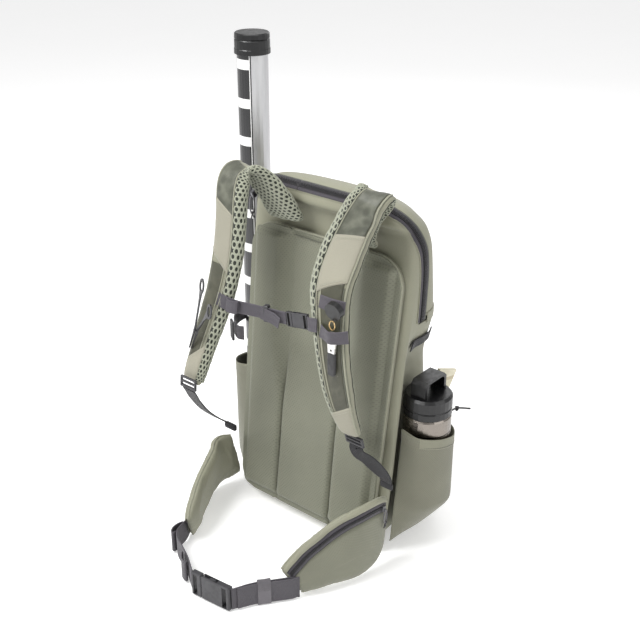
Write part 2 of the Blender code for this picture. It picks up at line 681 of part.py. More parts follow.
def build_hip_belt():
    sweep("hip_wing_right", wing_stations(WING_RIGHT), 20, "sage_fabric", wing_section)
    sweep("hip_wing_left", wing_stations(WING_LEFT), 20, "sage_fabric", wing_section)
    for word, pairs, side in (("right", WING_RIGHT, 1), ("left", WING_LEFT, -1)):
        rows = wing_outside(pairs, side, 0.020, 0.0012)
        rings = [[spot + up * u + out * v for u, v in flat_section(0.0110, 0.0012)] for spot, out,
                 up in rows]
        loft("hip_zip_" + word, rings, "black_zip")
        spot, out, up = rows[0]
        run = (rows[1][0] - spot).normalized()
        place = placed(spot + run * 0.006 + out * 0.0036, run, up)
        box("hip_slider_" + word, (-0.0045, -0.0042, -0.0018), (0.0045, 0.0042, 0.0018), "zip_metal",
            0.0006, place)
        top = spot + run * 0.006 + out * 0.0072
        loop = []
        for i in range(16):
            a = 2 * math.pi * i / 16
            loop.append(top + run * 0.0045 * math.sin(a) + Vector((0, 0, -0.0125 + 0.0125 * math.cos(a))))
        cord("hip_pull_" + word, loop, 0.0012, "black_webbing", cyclic=True)
    build_waist_buckle()
    web, thick = BELT_WEB, WEB_THICK
    up = (0, 0, 1)
    sweep("hip_webbing_left", [
        ((-0.1180, -0.2375, 0.0225), up, web, thick), ((-0.1090, -0.2530, 0.0225), up, web, thick),
        ((-0.1040, -0.2700, 0.0225), up, web, thick), ((-0.0985, -0.2810, 0.0225), up, web, thick),
        ((-0.0860, -0.2910, 0.0225), up, web, thick), ((-0.0655, -0.3004, 0.0225), up, web, thick),
        ((-0.0424, -0.3118, 0.0225), up, web, thick), ((-0.0230, -0.3240, 0.0225), up, web, thick),
        ((-0.0122, -0.3306, 0.0225), up, web, thick)], 24, "purple_webbing")
    sweep("hip_webbing_right", [
        ((0.0610, -0.3232, 0.0225), up, web, thick), ((0.0660, -0.3130, 0.0225), up, web, thick),
        ((0.0705, -0.3029, 0.0225), up, web, thick), ((0.0790, -0.2880, 0.0225), up, web, thick),
        ((0.0920, -0.2712, 0.0225), up, web, thick), ((0.1025, -0.2575, 0.0225), up, web, thick),
        ((0.1098, -0.2482, 0.0225), up, web, thick), ((0.1190, -0.2395, 0.0225), up, web, thick)],
        22, "purple_webbing")
    run = (Vector((0.0920, -0.2712, 0)) - Vector((0.0790, -0.2880, 0))).normalized()
    place = placed(Vector((0.0853, -0.2797, 0.0225)), run, (0, 0, 1))
    keeper = grid_plate("belt_keeper", [-0.0042, -0.0022, 0.0022, 0.0042],
                        [-0.0222, -0.0200, 0.0200, 0.0222], [(1, 1)], 0.0110, "buckle_plastic",
                        place @ Matrix.Rotation(math.pi / 2, 4, "Y"))
    add_bevel(keeper, 0.0005, 1)


BUCKLE_AT = Vector((0.0083, -0.3289, 0.0225))
BUCKLE_RUN = Vector((0.994, 0.108, 0.0))


def buckle_pieces(prefix, place, scale, split_prongs):
    """A side-release buckle about place: X runs from the male half into the female half."""
    s = scale

    def block(name, low, high, finish_name="buckle_plastic", bevel=0.0):
        return box(name, [v * s for v in low], [v * s for v in high], finish_name, bevel * s, place)

    female = block(prefix + "_female", (0.0, -0.0205, -0.0055), (0.0520, 0.0205, 0.0055), bevel=0.0016)
    cavity = guide(block(prefix + "_cavity", (-0.010, -0.0175, -0.0033), (0.0350, 0.0175, 0.0033)))
    windows = guide(block(prefix + "_windows", (-0.010, -0.0300, -0.0033), (0.0285, 0.0300, 0.0033)))
    slot = guide(block(prefix + "_slot", (0.0390, -0.0180, -0.0100), (0.0470, 0.0180, 0.0100)))
    for cutter in (cavity, windows, slot):
        boolean(female, cutter, "DIFFERENCE")
    male = block(prefix + "_male", (-0.0194, -0.0205, -0.0050), (-0.0006, 0.0205, 0.0050), bevel=0.0016)
    bar_slot = guide(block(prefix + "_bar_slot", (-0.0150, -0.0180, -0.0100), (-0.0080, 0.0180, 0.0100)))
    boolean(male, bar_slot, "DIFFERENCE")
    tongue = guide(block(prefix + "_tongue", (-0.0030, -0.0040, -0.0024), (0.0240, 0.0040, 0.0024)))
    boolean(male, tongue, "UNION")
    for word, side in (("upper", 1), ("lower", -1)):
        start = 0.0004 if split_prongs else -0.0030
        outline = [(start, 0.0115), (0.0120, 0.0100), (0.0232, 0.0120), (0.0262, 0.0160),
                   (0.0232, 0.0200), (0.0140, 0.0198), (0.0130, 0.0160), (start, 0.0160)]
        rings = [[Vector((x * s, y * s * side, z * s)) for x, y in outline] for z in (-0.0024, 0.0024)]
        prong = loft(prefix + "_prong_" + word, rings, "buckle_plastic", None)
        prong.matrix_world = place
        if not split_prongs:
            boolean(male, guide(prong), "UNION")


def build_waist_buckle():
    place = placed(BUCKLE_AT, BUCKLE_RUN, (0, 0, 1))
    buckle_pieces("waist_buckle", place, 1.0, split_prongs=True)


# ---- sternum strap and gear on the shoulder straps -------------------------------------------
STERNUM_AT = Vector((0.0265, -0.1425, 0.3955))
STERNUM_RUN = Vector((1.0, 0.03, 0.16))


def build_sternum():
    web, thick = STERNUM_WEB, 0.0018
    sweep("sternum_webbing_left", [
        ((-0.1090, -0.1622, 0.3965), (0, 0.35, 0.93), web, thick),
        ((-0.0900, -0.1632, 0.3945), (0, 0.30, 0.95), web, thick),
        ((-0.0700, -0.1590, 0.3925), (0, 0.15, 1), web, thick),
        ((-0.0400, -0.1500, 0.3915), (0, 0, 1), web, thick),
        ((-0.0050, -0.1440, 0.3918), (0, 0, 1), web, thick),
        ((0.0138, -0.1432, 0.3934), (-0.16, 0, 1), web, thick)],
        18, "purple_webbing")
    place = placed(STERNUM_AT, STERNUM_RUN, (0, 0, 1))
    buckle_pieces("sternum_buckle", place, 0.56, split_prongs=False)
    sweep("sternum_webbing_right", [
        ((0.0566, -0.1425, 0.4004), (-0.16, 0, 1), web, thick),
        ((0.0600, -0.1486, 0.4012), (-0.16, 0.1, 1), web, thick),
        ((0.0660, -0.1502, 0.4025), (-0.16, 0.2, 1), web, thick),
        ((0.0780, -0.1510, 0.4050), (-0.16, 0.25, 1), web, thick)],
        8, "purple_webbing")
    run = Vector((0.035, 0.0085, 0.0005))
    place = placed(Vector((-0.0220, -0.1455, 0.3916)), run, (0, 0, 1))
    keeper = grid_plate("sternum_keeper", [-0.0042, -0.0026, 0.0026, 0.0042],
                        [-0.0128, -0.0110, 0.0110, 0.0128], [(1, 1)], 0.0075, "buckle_plastic",
                        place @ Matrix.Rotation(math.pi / 2, 4, "Y"))
    add_bevel(keeper, 0.0004, 1)


NIPPER_X = 0.1090
NIPPER_Y = -0.1555
NIPPER_TOP, NIPPER_JOIN, NIPPER_FOOT = 0.4070, 0.3740, 0.3390


def build_nippers():
    """The line nippers on their retractor, and the webbing loops that hold them."""
    web, thick = 0.019, 0.0018
    up = (0, 0, 1)
    sweep("gear_loop_upper", [
        ((0.0740, -0.1402, 0.4380), (0, 0.25, 0.97), web, thick),
        ((0.0890, -0.1406, 0.4380), (0, 0.25, 0.97), web, thick),
        ((0.1050, -0.1404, 0.4385), (0, 0.25, 0.97), web, thick),
        ((0.1180, -0.1390, 0.4390), (0, 0.25, 0.97), web, thick)],
        10, "purple_webbing")
    sweep("gear_loop_lower", [
        ((0.0840, -0.1505, 0.3990), (0, 0.2, 1), web, thick), ((0.0960, -0.1560, 0.3995), up, web, thick),
        ((0.1090, -0.1620, 0.4000), up, web, thick), ((0.1200, -0.1570, 0.4010), up, web, thick),
        ((0.1310, -0.1470, 0.4020), (0, 0.2, 1), web, thick)], 12, "purple_webbing")
    disc = Vector((NIPPER_X, -0.1464, 0.4380))
    cylinder("retractor_body", 0.0135, disc, disc + Vector((0, -0.0088, -0.0020)), "black_plastic", 28)
    ring = []
    for i in range(18):
        a = 2 * math.pi * i / 18
        ring.append(Vector((NIPPER_X + 0.0048 * math.sin(a), NIPPER_Y, 0.4165 + 0.0070 * math.cos(a))))
    cord("retractor_link", ring, 0.0009, "brass_ring", cyclic=True)
    head_rings = []
    for z, half, thick_half in ((NIPPER_JOIN + 0.0003, 0.0056, 0.0022), (0.385, 0.0062, 0.0022),
                                (0.398, 0.0068, 0.0022), (0.4045, 0.0050, 0.0016),
                                (NIPPER_TOP, 0.0030, 0.0010)):
        head_rings.append([Vector((NIPPER_X + x * half, NIPPER_Y + y * thick_half, z))
                           for x, y in ((-1, -1), (1, -1), (1, 1), (-1, 1))])
    head = loft("nipper_head", head_rings, "nipper_steel", None)
    hole = guide(cylinder("nipper_hole", 0.0017, (NIPPER_X, NIPPER_Y - 0.01, 0.3790),
                          (NIPPER_X, NIPPER_Y + 0.01, 0.3790), "nipper_steel", 16))
    boolean(head, hole, "DIFFERENCE")
    sleeve_rings = []
    for z, half in ((NIPPER_FOOT, 0.0048), (NIPPER_FOOT + 0.002, 0.0062), (0.356, 0.0066),
                    (NIPPER_JOIN - 0.003, 0.0066), (NIPPER_JOIN, 0.0060)):
        outline = rounded_section(2 * half, 0.0064 if half > 0.005 else 0.0048, 4.0, 12)
        sleeve_rings.append([Vector((NIPPER_X + u, NIPPER_Y + v, z)) for u, v in outline])
    loft("nipper_sleeve", sleeve_rings, "black_plastic", 40)


FORCEPS_TIP = Vector((-0.1350, -0.1965, 0.3165))
FORCEPS_RUN = Vector((0.417, -0.050, 0.907)).normalized()
FORCEPS_SPREAD = Vector((0.757, -0.540, -0.372)).normalized()
FORCEPS_PIVOT = 0.040        # tip to pivot
FORCEPS_RING = 0.108         # tip to ring centre
FORCEPS_RING_HALF = 0.026    # half the ring centres' spacing


def forceps_place():
    return placed(FORCEPS_TIP, FORCEPS_RUN, FORCEPS_SPREAD)


def build_forceps_half(name, side, level):
    """One half: jaw, box joint, shank and finger ring, as a flat outline given a thickness."""
    inner, outer = 0.0075, 0.0112
    centre = (FORCEPS_RING, side * FORCEPS_RING_HALF)
    jaw = [(0.0005, side * 0.0004), (0.0005, side * 0.0016), (0.030, side * 0.0042),
           (0.036, side * 0.0052),
           (0.044, side * 0.0052), (0.052, side * 0.0075), (0.080, side * 0.0175)]
    back = [(0.083, side * 0.0140), (0.053, side * 0.0040), (0.046, side * 0.0004)]
    entry = math.atan2(jaw[-1][1] - centre[1], jaw[-1][0] - centre[0])
    leave = math.atan2(back[0][1] - centre[1], back[0][0] - centre[0])
    turn = leave - entry
    while turn * side < 0:
        turn += side * 2 * math.pi
    arc = [entry - turn_share * (side * 2 * math.pi - turn) for turn_share in [i / 14 for i in range(15)]]
    ring = [(centre[0] + outer * math.cos(a), centre[1] + outer * math.sin(a)) for a in arc]
    outline = jaw + ring[1:-1] + back
    rings = [[Vector((x, y, z)) for x, y in outline] for z in (level - 0.0011, level + 0.0011)]
    half = loft(name, rings, "gunmetal", None)
    half.matrix_world = forceps_place()
    place = forceps_place()
    start = place @ Vector((centre[0], centre[1], level - 0.01))
    end = place @ Vector((centre[0], centre[1], level + 0.01))
    boolean(half, guide(cylinder(name + "_finger", inner, start, end, "gunmetal", 20)), "DIFFERENCE")
    pin_start = place @ Vector((FORCEPS_PIVOT, 0, level - 0.01))
    pin_end = place @ Vector((FORCEPS_PIVOT, 0, level + 0.01))
    boolean(half, guide(cylinder(name + "_bore", 0.0021, pin_start, pin_end, "gunmetal", 16)),
            "DIFFERENCE")
    return half


def build_forceps():
    build_forceps_half("forceps_half_a", 1, 0.00135)
    build_forceps_half("forceps_half_b", -1, -0.00135)
    place = forceps_place()
    cylinder("forceps_pivot", 0.0018, place @ Vector((FORCEPS_PIVOT, 0, -0.0030)),
             place @ Vector((FORCEPS_PIVOT, 0, 0.0030)), "gunmetal", 14)


# ---- carried gear ---------------------------------------------------------------------------
def build_rod_tube():
    r, wall = ROD_TUBE_R, ROD_TUBE_WALL
    low, top = 0.055, 0.741
    lathe("rod_tube", [(r, low), (r, top), (r - wall, top), (r - wall, low)], ROD_TUBE_AT, "tube_enamel")
    foot = [(0, low - 0.017), (r - 0.002, low - 0.017), (r + 0.001, low - 0.014), (r + 0.001, low - GAP),
            (r - wall - GAP, low - GAP),
            (r - wall - GAP, low + 0.008), (0, low + 0.008)]
    lathe("rod_tube_foot", foot, ROD_TUBE_AT, "black_plastic")
    inner, outer = r + GAP, 0.0272
    cap = [(0, top + GAP), (inner, top + GAP), (inner, 0.722), (outer + 0.0006, 0.722),
           (outer + 0.0006, 0.729),
           (outer, 0.730), (outer, 0.742), (outer - 0.0012, 0.7435), (outer, 0.745),
           (outer - 0.0004, 0.7515),
           (outer - 0.002, ROD_TUBE_TOP), (0, ROD_TUBE_TOP)]
    lathe("rod_tube_cap", cap, ROD_TUBE_AT, "black_plastic")


def build_bottle():
    r, low, top = BOTTLE_R, BOTTLE_LOW, BOTTLE_SHOULDER
    wall = 0.002
    body = [(0, low), (r - 0.003, low), (r, low + 0.003), (r, top - 0.004), (r - 0.003, top),
            (r - 0.003 - wall, top), (r - 0.003 - wall, low + 0.006), (0, low + 0.006)]
    lathe("bottle_body", body, BOTTLE_AT, "steel")
    gap, rim = GAP, BOTTLE_R + 0.0004
    lid = [(0, top + gap), (rim, top + gap), (rim, top + 0.0100), (rim - 0.0010, top + 0.0115),
           (rim, top + 0.0130), (rim, top + 0.0290), (rim - 0.0035, top + 0.0330), (0, top + 0.0330)]
    cap = lathe("bottle_lid", lid, BOTTLE_AT, "black_plastic")
    deck = top + 0.0330
    half_x, half_y, tall, bar = 0.0130, 0.0275, 0.0270, 0.0050
    arch = [(-half_y, deck - 0.002), (-half_y, deck + tall - 0.006), (-half_y + 0.006, deck + tall),
            (half_y - 0.006, deck + tall), (half_y, deck + tall - 0.006), (half_y, deck - 0.002),
            (half_y - bar, deck - 0.002), (half_y - bar, deck + tall - bar - 0.004),
            (half_y - bar - 0.004, deck + tall - bar), (-half_y + bar + 0.004, deck + tall - bar),
            (-half_y + bar, deck + tall - bar - 0.004), (-half_y + bar, deck - 0.002)]
    centre = BOTTLE_AT
    rings = [[Vector((centre.x + x, centre.y + y, z)) for y, z in arch] for x in (-half_x, half_x)]
    handle = guide(loft("bottle_handle", rings, "black_plastic", None))
    boolean(cap, handle, "UNION")


def build_packet():
    across = (0.30, 0.95, 0)
    sweep("paper_packet", [
        ((0.1430, 0.0440, 0.1000), across, 0.028, 0.005),
        ((0.1430, 0.0440, 0.1500), across, 0.028, 0.005),
        ((0.1440, 0.0450, 0.1900), across, 0.029, 0.005),
        ((0.1590, 0.0660, 0.2740), across, 0.036, 0.005)],
        6, "paper")


def build_drawcord():
    """The elastic of the bottle pocket: a knot at the rim with its short tail."""
    route = [(0.1640, 0.0690, 0.1950), (0.1665, 0.0740, 0.1985), (0.1685, 0.0800, 0.2000),
             (0.1690, 0.0860, 0.1985),
             (0.1720, 0.0910, 0.1975), (0.1775, 0.0930, 0.1985), (0.1835, 0.0935, 0.2000),
             (0.1880, 0.0945, 0.2010)]
    cord("pocket_drawcord", smooth_points(route, 16), 0.0014, "black_webbing")


def build_compression():
    web, thick = SHOULDER_WEB, WEB_THICK
    up = (0, 0, 1)
    tilt = (0.25, 0, 1)
    wraps = [(-0.022, 0.3440), (-0.006, 0.3420), (0.014, 0.3410), (0.032, 0.3405), (0.046, 0.3405)]
    sweep("compression_strap_right", [
        ((bag_side(y, z) + 0.0030, y, z), tilt, 0.016, thick) for y, z in wraps], 12, "black_webbing")
    sweep("compression_strap_left", [
        ((-0.1590, -0.0560, 0.2800), up, web, thick), ((-0.1720, -0.0580, 0.2800), up, web, thick),
        ((-0.1960, -0.0400, 0.2800), up, web, thick), ((-0.2115, -0.0140, 0.2800), up, web, thick),
        ((-0.2120, 0.0160, 0.2800), up, web, thick), ((-0.1990, 0.0370, 0.2800), up, web, thick),
        ((-0.1720, 0.0470, 0.2800), up, web, thick), ((-0.1345, 0.0490, 0.2800), up, web, thick)],
        22, "purple_webbing")
    place = placed(Vector((-0.1830, -0.0585, 0.2800)), (0.82, -0.57, 0), (0, 0, 1))
    lock = grid_plate("compression_lock_left", [-0.0090, -0.0060, -0.0020, 0.0010, 0.0060, 0.0090],
                      [-0.0165, -0.0135, 0.0135, 0.0165], [(1, 1), (3, 1)], 0.0040, "buckle_plastic",
                      place)
    add_bevel(lock, 0.0006, 1)


def build_main_slider():
    """The slider of the main zip, parked high on the left side."""
    at = Vector((-0.1582, -0.0235, 0.5120))
    run = Vector((0.0, -0.42, 0.91))
    place = placed(at, run, (0, 1, 0))
    box("main_slider", (-0.0065, -0.0050, -0.0022), (0.0065, 0.0050, 0.0022), "zip_metal", 0.0008, place)
    top = at + Vector((-0.0045, 0, -0.004))
    loop = []
    for i in range(16):
        a = 2 * math.pi * i / 16
        loop.append(top + Vector((0, 0.0050 * math.sin(a), -0.0150 + 0.0150 * math.cos(a))))
    cord("main_pull", loop, 0.0012, "black_webbing", cyclic=True)


def main():
    clear_scene()
    build_bag()
    build_panel()
    build_frame_sheet()
    build_pockets()
    build_harness()
    build_hip_belt()
    build_sternum()
    build_nippers()
    build_forceps()
    build_rod_tube()
    build_bottle()
    build_packet()
    build_drawcord()
    build_compression()
    build_main_slider()


main()
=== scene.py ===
"""Looks of the tackle backpack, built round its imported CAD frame.

The frame: +Z up, the harness faces -Y, the lid faces +Y, metres. Soft parts are rebuilt here as
sewn and padded pieces; hard parts keep their CAD meshes under moulded, turned and metal finishes.
"""
import json
import math

import bmesh
import bpy
import numpy as np
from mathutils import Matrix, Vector, noise
from mathutils.bvhtree import BVHTree

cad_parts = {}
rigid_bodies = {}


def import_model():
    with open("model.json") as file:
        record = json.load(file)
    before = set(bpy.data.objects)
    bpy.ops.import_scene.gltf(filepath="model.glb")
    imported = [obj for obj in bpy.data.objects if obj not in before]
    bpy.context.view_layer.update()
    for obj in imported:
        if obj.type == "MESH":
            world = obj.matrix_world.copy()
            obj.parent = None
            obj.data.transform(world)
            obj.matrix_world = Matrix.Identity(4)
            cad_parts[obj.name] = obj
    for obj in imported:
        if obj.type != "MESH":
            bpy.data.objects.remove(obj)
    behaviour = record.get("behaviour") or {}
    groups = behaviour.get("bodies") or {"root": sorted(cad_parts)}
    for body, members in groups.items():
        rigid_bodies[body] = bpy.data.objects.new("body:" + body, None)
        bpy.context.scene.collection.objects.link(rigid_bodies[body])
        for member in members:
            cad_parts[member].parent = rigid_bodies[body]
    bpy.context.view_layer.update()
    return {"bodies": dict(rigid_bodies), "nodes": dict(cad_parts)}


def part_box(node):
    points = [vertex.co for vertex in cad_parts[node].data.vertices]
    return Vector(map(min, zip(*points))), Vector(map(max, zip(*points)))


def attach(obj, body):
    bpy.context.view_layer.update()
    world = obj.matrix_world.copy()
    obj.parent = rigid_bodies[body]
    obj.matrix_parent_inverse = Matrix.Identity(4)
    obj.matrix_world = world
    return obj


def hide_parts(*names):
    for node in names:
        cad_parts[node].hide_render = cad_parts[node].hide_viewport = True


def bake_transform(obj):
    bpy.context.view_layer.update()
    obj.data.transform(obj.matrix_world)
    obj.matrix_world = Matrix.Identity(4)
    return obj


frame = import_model()
NODES = frame["nodes"]


# ---- camera, floor and light ------------------------------------------------------------------
TARGET = Vector((-0.095, 0.062, 0.280))
AZIMUTH, ELEVATION, DISTANCE = math.radians(40), math.radians(26), 1.75


def towards(azimuth, elevation):
    """The direction from the object to something seen at that azimuth and elevation."""
    return Vector((math.sin(azimuth) * math.cos(elevation), -math.cos(azimuth) * math.cos(elevation),
                   math.sin(elevation)))


def build_camera():
    """The camera, aimed at the target from its azimuth and elevation."""
    lens = bpy.data.cameras.new("camera")
    lens.lens, lens.sensor_width = 58.5, 36.0
    lens.clip_start, lens.clip_end = 0.01, 50.0
    camera = bpy.data.objects.new("camera", lens)
    bpy.context.scene.collection.objects.link(camera)
    camera.location = TARGET + towards(AZIMUTH, ELEVATION) * DISTANCE
    camera.rotation_euler = (math.pi / 2 - ELEVATION, 0.0, AZIMUTH)
    bpy.context.scene.camera = camera


def area_light(name, azimuth, elevation, distance, size, power, colour=(1, 1, 1)):
    """A round soft light that shines on the middle of the pack."""
    light = bpy.data.lights.new(name, "AREA")
    light.shape, light.size, light.energy, light.color = "DISK", size, power, colour
    lamp = bpy.data.objects.new(name, light)
    bpy.context.scene.collection.objects.link(lamp)
    way = towards(math.radians(azimuth), math.radians(elevation))
    lamp.location = Vector((0, 0, 0.28)) + way * distance
    lamp.rotation_euler = way.to_track_quat("Z", "Y").to_euler()


def build_studio():
    """Four soft lights and an even white surround."""
    area_light("key", -22, 52, 2.4, 1.2, 52)
    area_light("fill", 95, 30, 2.6, 1.8, 14)
    area_light("top", 60, 86, 2.4, 1.8, 14)
    area_light("back", 205, 35, 2.6, 1.6, 9)
    world = bpy.data.worlds.new("studio")
    world.use_nodes = True
    sky = world.node_tree.nodes["Background"]
    sky.inputs["Color"].default_value = (1.0, 1.0, 1.0, 1.0)
    sky.inputs["Strength"].default_value = 0.62
    bpy.context.scene.world = world
    bpy.context.scene.view_settings.view_transform = "Standard"


# ---- node materials ---------------------------------------------------------------------------
class Finish:
    """A Principled material and the node sums that feed it."""

    def __init__(self, name, roughness, metallic=0.0, **fixed):
        self.material = bpy.data.materials.new(name)
        self.material.use_nodes = True
        self.tree = self.material.node_tree
        self.shader = self.tree.nodes["Principled BSDF"]
        self.shader.inputs["Roughness"].default_value = roughness
        self.shader.inputs["Metallic"].default_value = metallic
        for socket, value in fixed.items():
            self.shader.inputs[socket.replace("_", " ")].default_value = value
        space = self.tree.nodes.new("ShaderNodeTexCoord")
        self.place = space.outputs["Object"]
        self.uv = space.outputs["UV"]

    def node(self, kind, *inputs, **settings):
        made = self.tree.nodes.new(kind)
        for key, value in settings.items():
            setattr(made, key, value)
        for index, value in enumerate(inputs):
            self.feed(value, made.inputs[index])
        return made

    def feed(self, value, socket):
        if isinstance(value, bpy.types.NodeSocket):
            self.tree.links.new(value, socket)
        elif value is not None:
            socket.default_value = value

    def sum(self, operation, a, b=0.0, c=0.0):
        return self.node("ShaderNodeMath", a, b, c, operation=operation).outputs[0]

    def axes(self, vector):
        return self.node("ShaderNodeSeparateXYZ", vector).outputs

    def noise(self, where, scale, detail=3.0, stretch=None):
        if stretch:
            where = self.node("ShaderNodeVectorMath", where, stretch, operation="MULTIPLY").outputs[0]
        made = self.node("ShaderNodeTexNoise", where)
        made.inputs["Scale"].default_value = scale
        made.inputs["Detail"].default_value = detail
        return made.outputs["Fac"]

    def ramp(self, value, low, high, to_low=0.0, to_high=1.0):
        made = self.node("ShaderNodeMapRange", value, low, high, to_low, to_high)
        made.interpolation_type = "SMOOTHSTEP"
        return made.outputs[0]

    def mix(self, share, a, b):
        made = self.node("ShaderNodeMix", data_type="RGBA")
        self.feed(share, made.inputs["Factor"])
        for value, socket in ((a, made.inputs[6]), (b, made.inputs[7])):
            self.feed(value if isinstance(value, bpy.types.NodeSocket) else (*value, 1.0), socket)
        return made.outputs[2]

    def wave(self, value, pitch, shift=0.0):
        """0 to 1 along value, once in each pitch."""
        turned = self.sum("MULTIPLY_ADD", value, 2 * math.pi / pitch, shift)
        return self.sum("MULTIPLY_ADD", self.sum("SINE", turned), 0.5, 0.5)

    def colour(self, value):
        self.feed(value if isinstance(value, bpy.types.NodeSocket) else (*value, 1.0),
                  self.shader.inputs["Base Color"])

    def rough(self, value):
        self.feed(value, self.shader.inputs["Roughness"])

    def bump(self, height, distance, strength=1.0):
        made = self.node("ShaderNodeBump")
        made.inputs["Strength"].default_value = strength
        made.inputs["Distance"].default_value = distance
        self.feed(height, made.inputs["Height"])
        self.feed(made.outputs[0], self.shader.inputs["Normal"])
        return self.material


def shade(colour, factor):
    """A colour made lighter or darker."""
    return tuple(min(c * factor, 1.0) for c in colour)


def coated_fabric(name, colour, weave=0.0011, worn=1.10):
    """Laminated pack cloth: a fine plain weave under a matt film, a little uneven in tone."""
    f = Finish(name, 0.62, Sheen_Weight=0.12, Sheen_Roughness=0.5)
    u, v, _ = f.axes(f.uv)
    threads = f.sum("MULTIPLY", f.wave(u, weave), f.wave(v, weave))
    patches = f.noise(f.place, 9.0, 4.0)
    specks = f.noise(f.place, 900.0, 2.0)
    tone = f.mix(f.ramp(patches, 0.3, 0.7), shade(colour, 0.94), shade(colour, worn))
    f.colour(f.mix(f.ramp(specks, 0.35, 0.75, 0.0, 0.25), tone, shade(colour, 0.7)))
    f.rough(f.ramp(patches, 0.3, 0.7, 0.56, 0.72))
    height = f.sum("ADD", f.sum("MULTIPLY", threads, 0.5), f.sum("MULTIPLY", f.noise(f.place, 45.0), 1.2))
    return f.bump(height, 0.00035, 0.7)


def panel_fabric(name, colour):
    """Moulded foam under a knit embossed with short dashes in a running bond."""
    f = Finish(name, 0.72, Sheen_Weight=0.15, Sheen_Roughness=0.6)
    u, v, _ = f.axes(f.uv)
    row = f.sum("FLOOR", f.sum("DIVIDE", v, 0.0032))
    shift = f.sum("MULTIPLY", f.sum("MODULO", row, 2.0), math.pi)
    across = f.sum("MULTIPLY_ADD", f.sum("SINE", f.sum("MULTIPLY_ADD", u, 2 * math.pi / 0.0050, shift)),
                   0.5, 0.5)
    down = f.wave(v, 0.0032, -math.pi / 2)
    dash = f.sum("MULTIPLY", f.ramp(across, 0.55, 0.80), f.ramp(down, 0.35, 0.75))
    patches = f.noise(f.place, 11.0, 4.0)
    tone = f.mix(f.ramp(patches, 0.3, 0.7), shade(colour, 0.95), shade(colour, 1.06))
    f.colour(f.mix(f.sum("MULTIPLY", dash, 0.42), tone, shade(colour, 0.45)))
    fuzz = f.noise(f.place, 1500.0, 2.0)
    height = f.sum("SUBTRACT", f.sum("MULTIPLY", fuzz, 0.25), dash)
    return f.bump(height, 0.0005, 0.8)


def camo_fabric(name, base, patch, weave=0.0009):
    """Dark printed cloth with soft round blots and a scatter of small pale dots."""
    f = Finish(name, 0.42, Coat_Weight=0.15, Coat_Roughness=0.35)
    u, v, _ = f.axes(f.uv)
    blots = f.node("ShaderNodeTexVoronoi", f.uv, None, 62.0)
    blots.inputs["Scale"].default_value = 62.0
    soft = f.ramp(blots.outputs["Distance"], 0.15, 0.62)
    clouds = f.noise(f.uv, 30.0, 4.0)
    dots = f.node("ShaderNodeTexVoronoi", f.uv)
    dots.inputs["Scale"].default_value = 115.0
    dot = f.ramp(dots.outputs["Distance"], 0.045, 0.085, 1.0, 0.0)
    seldom = f.ramp(f.noise(f.uv, 60.0, 1.0), 0.56, 0.60)
    tone = f.mix(f.sum("MULTIPLY", soft, f.ramp(clouds, 0.35, 0.65)), base, patch)
    f.colour(f.mix(f.sum("MULTIPLY", f.sum("MULTIPLY", dot, seldom), 0.55), tone, (0.42, 0.40, 0.31)))
    threads = f.sum("MULTIPLY", f.wave(u, weave), f.wave(v, weave))
    return f.bump(f.sum("ADD", threads, f.sum("MULTIPLY", clouds, 1.5)), 0.0003, 0.6)


def webbing(name, colour, width, pitch=0.0026):
    """Woven strap: a herringbone twill with a plain selvedge along each edge."""
    f = Finish(name, 0.62, Sheen_Weight=0.08, Sheen_Roughness=0.4)
    u, v, _ = f.axes(f.uv)
    side = f.sum("ABSOLUTE", f.sum("PINGPONG", f.sum("ADD", u, 1.0), width / 4))
    twill = f.wave(f.sum("ADD", side, f.sum("MULTIPLY", v, 0.8)), pitch)
    picks = f.wave(v, 0.0011)
    reach = f.sum("ABSOLUTE", u)
    edge = f.ramp(reach, width * 0.5 - 0.0022, width * 0.5 - 0.0012)
    weave = f.sum("ADD", f.sum("MULTIPLY", twill, f.sum("SUBTRACT", 1.0, edge)),
                  f.sum("MULTIPLY", picks, 0.4))
    fuzz = f.noise(f.place, 700.0, 3.0)
    dark = f.mix(f.ramp(weave, 0.1, 1.1), shade(colour, 0.62), shade(colour, 1.28))
    tone = f.mix(f.sum("MULTIPLY", edge, 0.6), dark, shade(colour, 1.45))
    f.colour(f.mix(f.ramp(fuzz, 0.4, 0.8, 0.0, 0.3), tone, shade(colour, 1.7)))
    return f.bump(f.sum("ADD", weave, f.sum("MULTIPLY", fuzz, 0.4)), 0.0005, 0.8)


def stretch_mesh(name, colour, pitch=0.0022):
    """Stretch pocket knit: fine wales with darker gaps between the stitches."""
    f = Finish(name, 0.74, Sheen_Weight=0.2, Sheen_Roughness=0.5)
    u, v, _ = f.axes(f.uv)
    row = f.sum("FLOOR", f.sum("DIVIDE", v, pitch))
    shift = f.sum("MULTIPLY", f.sum("MODULO", row, 2.0), math.pi)
    wale = f.sum("MULTIPLY_ADD",
                 f.sum("SINE", f.sum("MULTIPLY_ADD", u, 2 * math.pi / (pitch * 1.5), shift)), 0.5, 0.5)
    stitch = f.sum("MULTIPLY", f.ramp(wale, 0.45, 0.9), f.wave(v, pitch, -math.pi / 2))
    patches = f.noise(f.place, 14.0, 4.0)
    tone = f.mix(f.ramp(patches, 0.3, 0.7), shade(colour, 0.93), shade(colour, 1.07))
    f.colour(f.mix(f.sum("MULTIPLY", stitch, 0.40), tone, shade(colour, 0.5)))
    return f.bump(f.sum("MULTIPLY", stitch, -1.0), 0.0004, 0.8)


